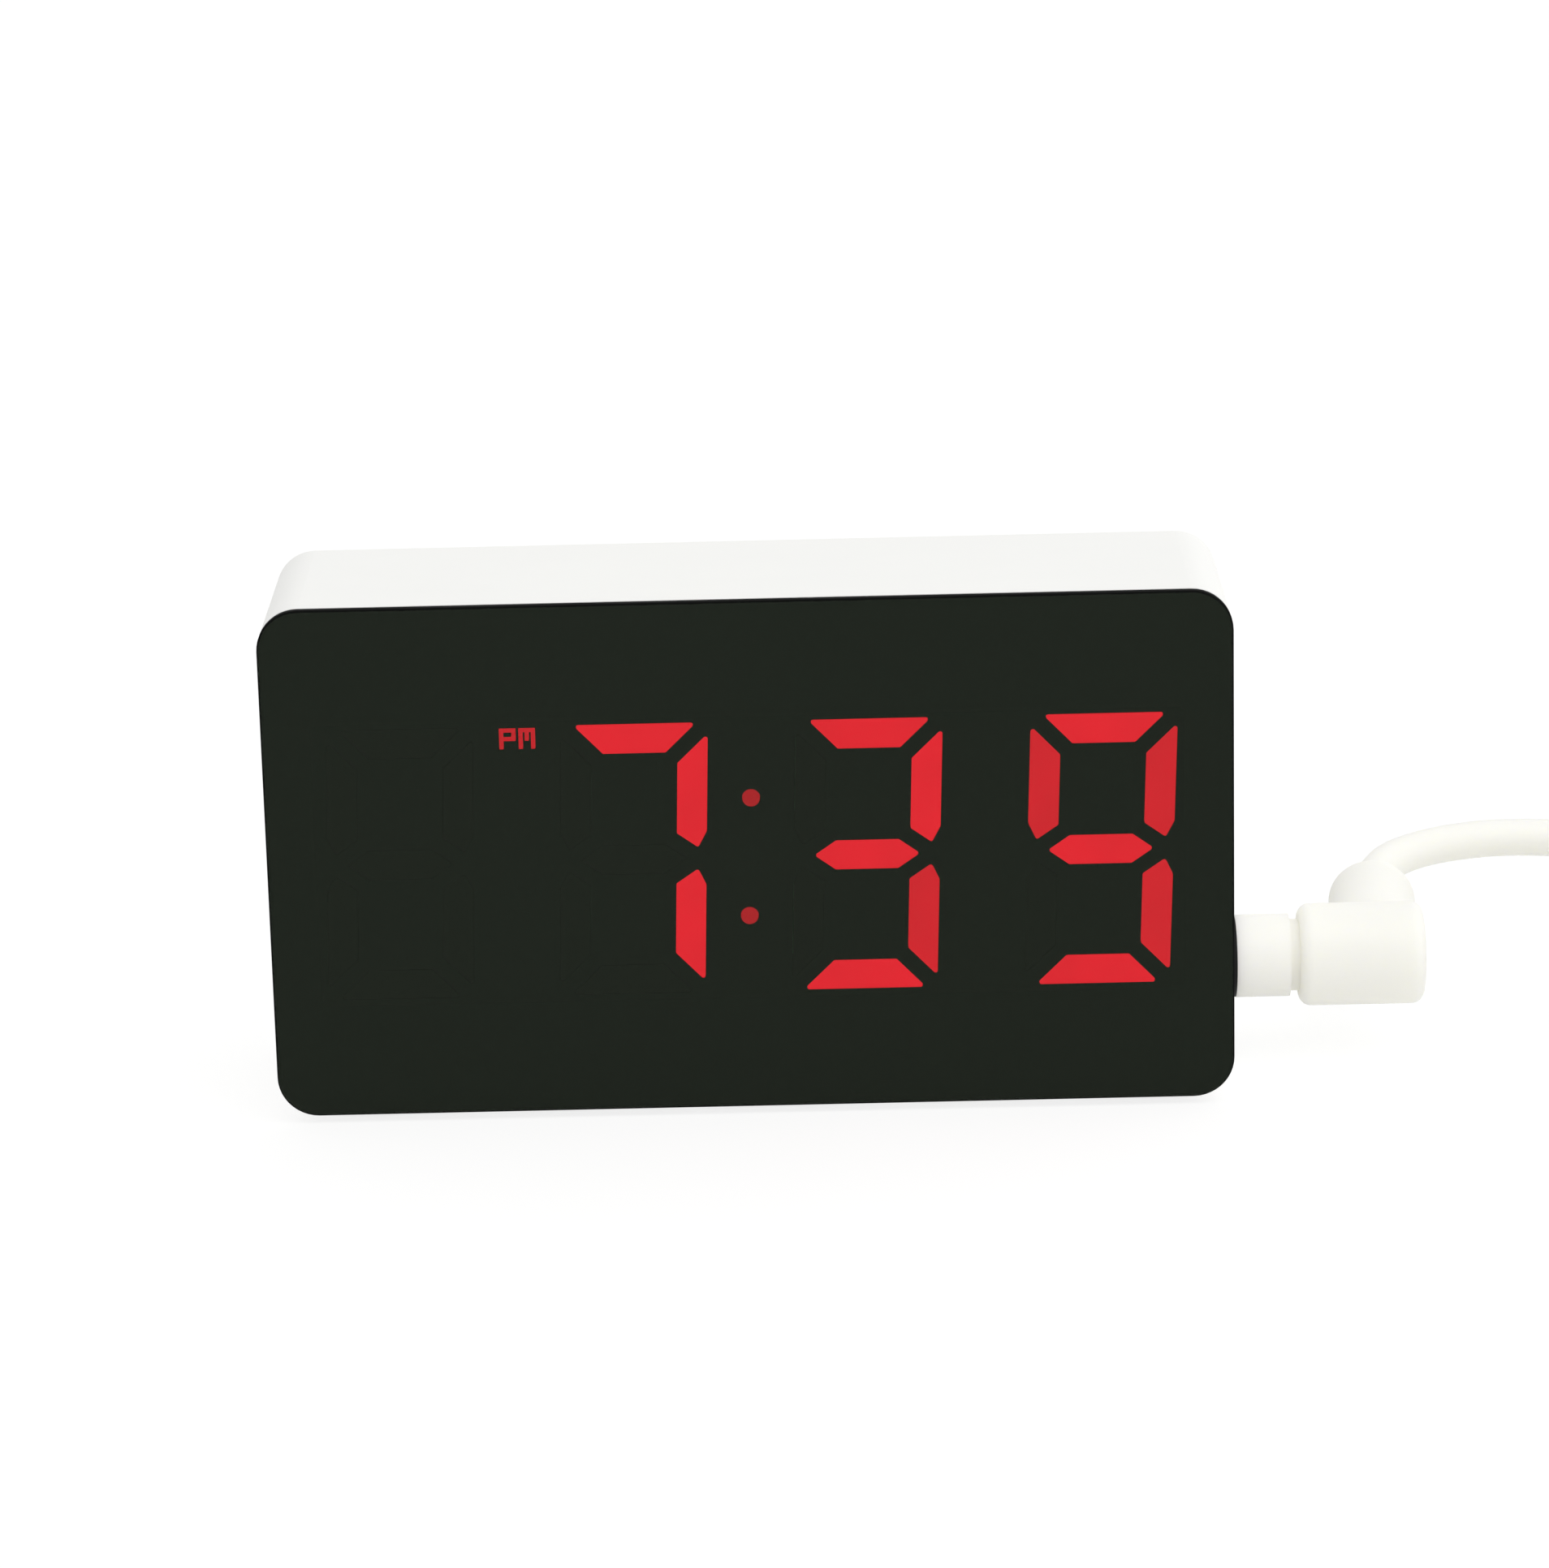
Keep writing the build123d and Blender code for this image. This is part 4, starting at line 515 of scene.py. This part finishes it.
def headed(start, runs, headings, rises):
    """The points of a route from its start: each run has a length, a heading from +X and a rise, in mm."""
    runs, headings = np.array(runs), np.radians(headings)
    steps = np.stack([runs * np.cos(headings), runs * np.sin(headings), rises], axis=-1)
    return start + np.cumsum(steps, axis=0) * MM


def cord_route(lead):
    """The route's own points: out of the plug, over to the coil, round its turns and on to the USB plug."""
    tilt, yaw = math.radians(EXIT_TILT), math.radians(EXIT_YAW)
    way = np.array([math.cos(tilt) * math.sin(yaw), math.cos(tilt) * math.cos(yaw), math.sin(tilt)])
    first = CORD_EXIT + way * EXIT_RUN * MM
    free = headed(first, FREE_RUNS, FREE_HEADINGS, FREE_RISES)
    whole = 2 * math.pi * lead.coil_turns
    turns = coil_points(lead, np.linspace(0, whole, COIL_POINTS_PER_TURN * lead.coil_turns + 1))
    way_in, way_out = coil_way(lead, 0), coil_way(lead, whole)
    coil_in = turns[0] - way_in * lead.diameter
    coil_out = turns[-1] + way_out * lead.diameter
    leaving = math.degrees(math.atan2(way_out[1], way_out[0]))
    tail = headed(coil_out, TAIL_RUNS, [leaving, *TAIL_HEADINGS], TAIL_RISES)
    before_coil = coil_in - way_in * COIL_RUN_IN * MM
    return np.concatenate([[CORD_EXIT, first], free, [before_coil, coil_in], turns, [coil_out], tail])


def strap_section(lead):
    """The strap's section, points (across, outward): a flat rectangle with its four edges bevelled."""
    wide, deep = lead.strap_width / 2, lead.strap_thickness / 2
    bevel = STRAP_BEVEL * lead.strap_thickness
    edge, face = deep - bevel, wide - bevel
    half = np.array([(-wide, -edge), (-wide, edge), (-face, deep), (face, deep)])
    return np.concatenate([half, -half])


def make_strap(lead, colour):
    """The strap: a flat band carried round a rounded rectangle about the coil's turns, from the middle of the
    top once round and on over its own start, where it rises by its thickness."""
    low, high = corners("lead_tie")
    thick = lead.strap_thickness
    half = (high - low)[FRONT] / 2 - thick / 2
    loop = rounded_loop(-half, half, STRAP_CORNER + thick / 2, *STRAP_POINTS)
    top = np.argmin(np.hypot(loop[:, 0], loop[:, 1] - half[1]))
    loop = np.roll(loop, -top, axis=0)
    line = np.concatenate([loop, loop[:STRAP_SECOND_POINTS]])
    travel = np.concatenate([[0], np.cumsum(np.linalg.norm(np.diff(line, axis=0), axis=1))])
    climb = np.clip((travel - travel[-1] + STRAP_OVERLAP) / STRAP_CLIMB, 0, 1)
    outward = np.stack([-np.gradient(line[:, 1]), np.gradient(line[:, 0])], axis=-1)
    outward /= np.linalg.norm(outward, axis=1, keepdims=True)
    line = line + outward * (climb**2 * (3 - 2 * climb) * STRAP_LIFT * thick)[:, None]
    section = strap_section(lead)
    band = line[:, None] + outward[:, None] * section[:, 1:]
    across = np.broadcast_to(section[:, 0], band.shape[:2])
    grid = (low + high) / 2 + np.stack([band[..., 0], across, band[..., 1]], axis=-1)
    caps = [np.broadcast_to(row.mean(0), (1, *row.shape)) for row in (grid[0], grid[-1])]
    grid = np.concatenate([caps[0], grid, caps[1]])
    cloth = woven_strap("nylon loop fabric, woven", colour)
    strap = surface_piece("coil_strap", [grid], cloth, "power_lead")
    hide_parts("lead_tie")
    return strap


def sign_outlines(key):
    """The outlines of a key's sign, each a ring of points: three bars with round ends, a bell whose skirt
    flares below its dome, with a round clapper, or an arrow's three straight sides."""
    turn = np.linspace(0, 2 * math.pi, SIGN_POINTS, endpoint=False)
    ring = circle(turn)
    if key == "mode":
        ends = np.sign(ring[:, :1]) * (LINE_HALF, 0)
        return [ends + LINE_RADIUS * ring + (0, height) for height in LINE_HEIGHTS]
    if key == "alarm":
        skirt = np.maximum(-ring[:, 1], 0)
        tall = np.where(ring[:, 1] > 0, BELL_DOME, BELL_SKIRT)
        bell = ring * np.stack([BELL_HALF + BELL_FLARE * skirt, tall], axis=-1) + (0, BELL_RISE)
        return [bell, CLAPPER_RADIUS * ring - (0, CLAPPER_DROP)]
    share = np.linspace(0, 3, SIGN_POINTS, endpoint=False)
    side = share.astype(int)
    start, end = ARROW_CORNERS[side], ARROW_CORNERS[side + 1]
    arrow = start + (share - side)[:, None] * (end - start)
    return [arrow if key == "up" else -arrow]


class CLOCK_OT_stage(bpy.types.Operator):
    """Makes the camera at the photograph's place, the pale floor, the room light and the soft box"""

    bl_idname = "clock.stage"
    bl_label = "Stage"

    def execute(self, context):
        context.scene.view_settings.view_transform = "Standard"
        self.make_camera(context)
        self.make_floor(context)
        self.make_sky(context)
        self.make_soft_box(context)
        return {"FINISHED"}

    def make_camera(self, context):
        """The photograph's camera: the lens is to the sensor as the focal length is to the picture's side."""
        lens = bpy.data.cameras.new("photo_camera")
        lens.sensor_width = SENSOR_MM
        lens.lens = SENSOR_MM * FOCAL_PIXELS / PICTURE_PIXELS
        lens.clip_start, lens.clip_end = NEAREST, FARTHEST
        camera = bpy.data.objects.new("photo_camera", lens)
        turn = Euler([math.radians(angle) for angle in CAMERA_TURN])
        camera.matrix_world = Matrix.LocRotScale(CAMERA_PLACE, turn, None)
        context.scene.collection.objects.link(camera)
        context.scene.camera = camera

    def make_floor(self, context):
        """A square floor just under the feet. Where it is seen, directly or in a reflection, it has some
        light of its own."""
        stage = context.scene.clock_stage
        mesh = bpy.data.meshes.new("floor")
        square = FLOOR_HALF * np.array([(-1, -1), (1, -1), (1, 1), (-1, 1)])
        mesh.from_pydata(np.insert(square, 2, -FLOOR_DROP, axis=1), [], [(0, 1, 2, 3)])
        floor = bpy.data.objects.new("floor", mesh)
        context.scene.collection.objects.link(floor)
        made = bpy.data.materials.new("pale paper floor")
        tree = empty_tree(made)
        matt = add_node(tree, "ShaderNodeBsdfDiffuse", {"Color": shade(stage.floor_white)})[0]
        grey = shade(stage.floor_white, stage.floor_matt)
        dim = add_node(tree, "ShaderNodeBsdfDiffuse", {"Color": grey})[0]
        glow = add_node(tree, "ShaderNodeEmission", {"Strength": stage.floor_glow})[0]
        both = add_node(tree, "ShaderNodeAddShader", {0: dim, 1: glow})[0]
        chosen = add_node(tree, "ShaderNodeMixShader", {0: self.seen_rays(tree), 1: matt, 2: both})[0]
        add_node(tree, "ShaderNodeOutputMaterial", {"Surface": chosen})
        mesh.materials.append(made)

    def make_sky(self, context):
        """Soft light from all round, stronger from the right, and plain white where it is seen."""
        stage = context.scene.clock_stage
        white = shade(linear("#FFFFFF"))
        world = bpy.data.worlds.new("white room")
        tree = empty_tree(world)
        coords = add_node(tree, "ShaderNodeTexCoord")["Generated"]
        side = add_node(tree, "ShaderNodeSeparateXYZ", {"Vector": coords})["X"]
        ends = {"From Min": -1.0, "From Max": 1.0, "To Min": stage.sky_left, "To Max": stage.sky_right}
        level = add_node(tree, "ShaderNodeMapRange", {"Value": side, **ends})["Result"]
        lit = add_node(tree, "ShaderNodeBackground", {"Color": white, "Strength": level})[0]
        plain = add_node(tree, "ShaderNodeBackground", {"Color": white, "Strength": 1.0})[0]
        chosen = add_node(tree, "ShaderNodeMixShader", {0: self.seen_rays(tree), 1: lit, 2: plain})[0]
        add_node(tree, "ShaderNodeOutputWorld", {"Surface": chosen})
        context.scene.world = world

    def seen_rays(self, tree):
        """1 for rays that are seen directly, in a reflection or through glass, and 0 for the rest."""
        path = add_node(tree, "ShaderNodeLightPath")
        seen = path["Is Camera Ray"]
        for kind in ("Is Glossy Ray", "Is Transmission Ray"):
            seen = add_node(tree, "ShaderNodeMath", {"operation": "MAXIMUM", 0: seen, 1: path[kind]})[0]
        return seen

    def make_soft_box(self, context):
        """A square soft box above the front right, turned to the clock."""
        lamp = bpy.data.lights.new("soft_box", "AREA")
        lamp.shape = "SQUARE"
        lamp.size = SOFT_BOX_SIZE
        lamp.energy = context.scene.clock_stage.lamp_power
        box = bpy.data.objects.new("soft_box", lamp)
        box.matrix_world = Matrix.LocRotScale(SOFT_BOX_PLACE, SOFT_BOX_PLACE.to_track_quat("Z", "Y"), None)
        context.scene.collection.objects.link(box)


class CLOCK_OT_cord(bpy.types.Operator):
    """Makes the power cord as one smooth line from the plug to the USB plug, and the strap on its coil"""

    bl_idname = "clock.cord"
    bl_label = "Power cord"

    def execute(self, context):
        lead, colours = context.scene.clock_lead, context.scene.clock_colours
        route = cord_route(lead)
        curve = bpy.data.curves.new("power_cord", "CURVE")
        curve.dimensions = "3D"
        curve.bevel_depth = lead.diameter / 2
        curve.bevel_resolution = 5
        curve.use_fill_caps = True
        spline = curve.splines.new("NURBS")
        spline.points.add(len(route) - 1)
        spline.points.foreach_set("co", np.column_stack([route, np.ones(len(route))]).ravel())
        spline.order_u = 3
        spline.use_endpoint_u = True
        spline.resolution_u = 6
        vinyl = moulded_plastic(
            "soft vinyl, extruded",
            colours.lead_white,
            roughness=0.42,
            grain_mm=2.5,
            grain_depth_mm=0.01,
            mottle=0.015,
            sheen=0.4,
            soft=0.6,
        )
        curve.materials.append(vinyl)
        cord = bpy.data.objects.new("power_cord", curve)
        context.scene.collection.objects.link(cord)
        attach(cord, "power_lead")
        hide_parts("lead_cord", "lead_coil", "lead_tail")
        strap = make_strap(lead, colours.strap_black)
        return {"FINISHED"}


class CLOCK_OT_signs(bpy.types.Operator):
    """Prints a plain sign on each rear key: bars, an up and a down arrow, and a bell"""

    bl_idname = "clock.signs"
    bl_label = "Key signs"

    def execute(self, context):
        grey = context.scene.clock_colours.sign_grey
        ink = moulded_plastic(
            "pad-printed ink", grey, roughness=0.6, grain_mm=0.3, grain_depth_mm=0.004, mottle=0.2
        )
        for key in KEYS:
            low, high = corners(f"{key}_button")
            middle, face = ((low + high) / 2)[FRONT], high[1]
            rings = [middle + ring * (-MM, MM) for ring in sign_outlines(key)]
            grids = [plate(ring, face - INK_SUNK, face + INK_PROUD) for ring in rings]
            surface_piece(f"{key}_sign", grids, ink, f"{key}_key")
        return {"FINISHED"}


class CLOCK_OT_case(bpy.types.Operator):
    """Finishes the white case, its door, keys, feet and screws"""

    bl_idname = "clock.case"
    bl_label = "Case"

    def execute(self, context):
        colours = context.scene.clock_colours
        white = moulded_plastic("white ABS, satin moulded", colours.case_white, roughness=0.4)
        grey = moulded_plastic("grey ABS, fine moulded", colours.key_grey, roughness=0.45, grain_mm=0.5)
        dress(white, "housing", "battery_door")
        dress(grey, *(f"{key}_button" for key in KEYS))
        dress(soft_foam("black rubber, moulded", linear("#26272A"), cell_mm=0.8), "rubber_feet")
        dress(plated_metal("zinc-plated steel, tumbled", linear("#B8BABC"), roughness=0.32), "case_screws")
        return {"FINISHED"}


class CLOCK_OT_display(bpy.types.Operator):
    """Finishes the mirror panel, what holds it, the ink behind it, and the lit and unlit bars"""

    bl_idname = "clock.display"
    bl_label = "Display"

    def execute(self, context):
        self.finish_panel(context.scene.clock_colours.panel_tint)
        self.finish_bars(context.scene.clock_colours.digit_red)
        soot = linear("#030303")
        matt = {"roughness": 0.7, "mottle": 0.2, "sheen": 0.0}
        dress(moulded_plastic("red diffuser, unlit", linear("#050202"), **matt), "dark_segments")
        dress(moulded_plastic("black polystyrene, moulded", soot, **matt), "segment_reflector")
        dress(moulded_plastic("black ABS, moulded", soot, **matt), "front_frame")
        dress(soft_foam("black foam tape, die-cut", soot, cell_mm=0.6, sheen=0.0), "panel_tape")
        return {"FINISHED"}

    def finish_panel(self, tint):
        """The panel: polished in front, dull on its sawn edge and clear at the back, with ink behind it."""
        dress(tinted_acrylic("half-mirror acrylic, polished", tint), "mirror_panel")
        edge = moulded_plastic(
            "dark acrylic, sawn edge",
            linear("#0A0B0A"),
            roughness=0.8,
            grain_mm=0.5,
            grain_depth_mm=0.02,
            mottle=0.2,
            sheen=0.06,
        )
        dress_faces("mirror_panel", edge, lambda face: abs(face.normal.y) < SQUARE_ON)
        back = clear_back("half-mirror acrylic, clear back")
        dress_faces("mirror_panel", back, lambda face: face.normal.y > SQUARE_ON)
        ink = {"roughness": 0.8, "grain_depth_mm": 0.004, "mottle": 0.2, "sheen": 0.0}
        self.make_border(moulded_plastic("black screen ink, printed", linear("#030303"), **ink))

    def finish_bars(self, red):
        """The lit bars, dots and mark, each at the strength of its own lamps."""
        dress(lit_diffuser("red diffuser, lit", red, BARS_LIGHT), "lit_segments")
        weak = lit_diffuser("red diffuser, lit less", red, WEAK_BARS_LIGHT)
        dress_faces("lit_segments", weak, self.is_dimmer)
        self.make_dots(lit_diffuser("red diffuser, lit low", red, DOTS_LIGHT))
        dress(lit_diffuser("red diffuser, lit behind a mask", red, MARK_LIGHT), "pm_mark")

    def make_border(self, material):
        """The ink behind the panel: a flat ring from near the panel's edge to inside the light block's."""
        low, high = corners("mirror_panel")
        block_low, block_high = corners("segment_reflector")
        back = high[1] - BORDER_GAP
        front = back - BORDER_THICKNESS
        outer = rounded_loop(
            low[FRONT] + BORDER_INSET, high[FRONT] - BORDER_INSET, PANEL_CORNER - BORDER_INSET, *BORDER_POINTS
        )
        inner = rounded_loop(
            block_low[FRONT] + BORDER_OVERLAP,
            block_high[FRONT] - BORDER_OVERLAP,
            BLOCK_CORNER - BORDER_OVERLAP,
            *BORDER_POINTS,
        )
        rows = [(inner, back), (outer, back), (outer, front), (inner, front), (inner, back)]
        grid = np.stack([at_depth(*row) for row in rows])
        surface_piece("panel_border", [grid], material, "clock")

    def make_dots(self, material):
        """The two round colon dots, the upper one to the right of the lower because the digits lean."""
        low, high = corners("colon_dots")
        ring = DOT_RADIUS * circle(np.linspace(0, 2 * math.pi, DOT_POINTS, endpoint=False))
        middles = [low[FRONT] + DOT_RADIUS, high[FRONT] - DOT_RADIUS]
        grids = [plate(middle + ring, low[1], high[1]) for middle in middles]
        dots = surface_piece("colon_lights", grids, material, "clock")
        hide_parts("colon_dots")

    def is_dimmer(self, face):
        """True on the upright bars of the last digit and on the lower one of the digit before it, whose lamps
        are weaker. An upright bar's faces are nearer to their digit's side than to its top or bottom."""
        rise = face.center.z - (DIGIT_LOW + DIGIT_HIGH) / 2
        straight = face.center.x - math.tan(math.radians(DIGIT_LEAN)) * rise
        from_side = DIGIT_WIDTH / 2 - abs(straight % DIGIT_PITCH - DIGIT_PITCH / 2)
        from_end = (DIGIT_HIGH - DIGIT_LOW) / 2 - abs(rise)
        upright = from_side < min(from_end, BAR_REACH) and abs(rise) > MIDDLE_BAR_HALF
        return upright and (face.center.x > DIGIT_PITCH or (face.center.x > 0 and rise < 0))


class CLOCK_OT_inside(bpy.types.Operator):
    """Finishes the boards, what is soldered to them, the switches and the cells"""

    bl_idname = "clock.inside"
    bl_label = "Inside"

    def execute(self, context):
        colours = context.scene.clock_colours
        board = circuit_board("glass-fibre board, lacquered", colours.board_green)
        black = moulded_plastic("black epoxy, moulded", linear("#17181A"), roughness=0.55, grain_mm=0.4)
        steel = plated_metal("nickel-plated steel, drawn", linear("#C4C2BC"), roughness=0.25)
        ribbon = moulded_plastic("grey polyester, laminated", linear("#8C8C88"), roughness=0.5, grain_mm=1.2)
        dress(board, "display_board", "key_board")
        dress(black, "control_chip", "buzzer", "key_switches", "power_socket")
        dress(black, *(f"{key}_plunger" for key in KEYS))
        dress(steel, "clock_crystal", "board_screws", "key_board_screws")
        dress(steel, "battery_springs", "battery_contacts", "socket_pin")
        dress(moulded_plastic("clear epoxy, cast", linear("#D8D2B4"), roughness=0.2), "segment_leds")
        dress(printed_sleeve("steel can, printed sleeve", colours.cell_sleeve), "battery_cells")
        dress(printed_sleeve("aluminium can, printed sleeve", linear("#2A3442")), "supply_capacitor")
        dress(moulded_plastic("red vinyl, extruded", linear("#9C1A1A"), roughness=0.45), "battery_wires")
        dress(ribbon, "key_ribbon")
        return {"FINISHED"}


class CLOCK_OT_plugs(bpy.types.Operator):
    """Finishes the angled plug at the clock and the USB plug at the far end"""

    bl_idname = "clock.plugs"
    bl_label = "Plugs"

    def execute(self, context):
        white = context.scene.clock_colours.lead_white
        soft = {"roughness": 0.48, "grain_mm": 1.0, "grain_depth_mm": 0.01, "soft": 0.6}
        nylon = {"roughness": 0.6, "grain_mm": 0.5, "grain_depth_mm": 0.01, "mottle": 0.2, "sheen": 0.2}
        dress(moulded_plastic("soft vinyl, moulded", white, **soft), "plug_moulding", "usb_grip")
        dress(plated_metal("nickel-plated brass, turned", linear("#C8C6C0"), roughness=0.22), "plug_barrel")
        dress(moulded_plastic("black nylon, moulded", linear("#0B0B0B"), **nylon), "plug_collar")
        dress(plated_metal("nickel-plated steel, stamped", linear("#C6C7C8"), roughness=0.24), "usb_shell")
        dress(moulded_plastic("white nylon, moulded", linear("#ECECE8"), roughness=0.5), "usb_tongue")
        dress(plated_metal("gold-plated contact, stamped", linear("#D8B25A"), roughness=0.25), "usb_contacts")
        return {"FINISHED"}


class CLOCK_PT_panel(bpy.types.Panel):
    """Lists the clock's pieces and its settings"""

    bl_idname = "CLOCK_PT_panel"
    bl_label = "Mirror alarm clock"
    bl_space_type = "VIEW_3D"
    bl_region_type = "UI"
    bl_category = "Clock"

    def draw(self, context):
        for operator in OPERATORS:
            self.layout.operator(operator.bl_idname)
        for name, group in GROUPS.items():
            column = self.layout.column()
            for setting in group.__annotations__:
                column.prop(getattr(context.scene, name), setting)


GROUPS = {"clock_colours": ClockColours, "clock_lead": LeadSizes, "clock_stage": StageSettings}
OPERATORS = [
    CLOCK_OT_stage,
    CLOCK_OT_cord,
    CLOCK_OT_signs,
    CLOCK_OT_case,
    CLOCK_OT_display,
    CLOCK_OT_inside,
    CLOCK_OT_plugs,
]


def register():
    """Registers the classes and gives the scene its settings."""
    for name, group in GROUPS.items():
        bpy.utils.register_class(group)
        setattr(bpy.types.Scene, name, bpy.props.PointerProperty(type=group))
    for made in [*OPERATORS, CLOCK_PT_panel]:
        bpy.utils.register_class(made)


def unregister():
    """Takes the classes and the settings away again."""
    for made in [CLOCK_PT_panel, *reversed(OPERATORS)]:
        bpy.utils.unregister_class(made)
    for name, group in GROUPS.items():
        delattr(bpy.types.Scene, name)
        bpy.utils.unregister_class(group)


def main():
    """Registers the add-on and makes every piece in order."""
    register()
    for operator in OPERATORS:
        family, name = operator.bl_idname.split(".")
        getattr(getattr(bpy.ops, family), name)()


if __name__ == "__main__":
    main()
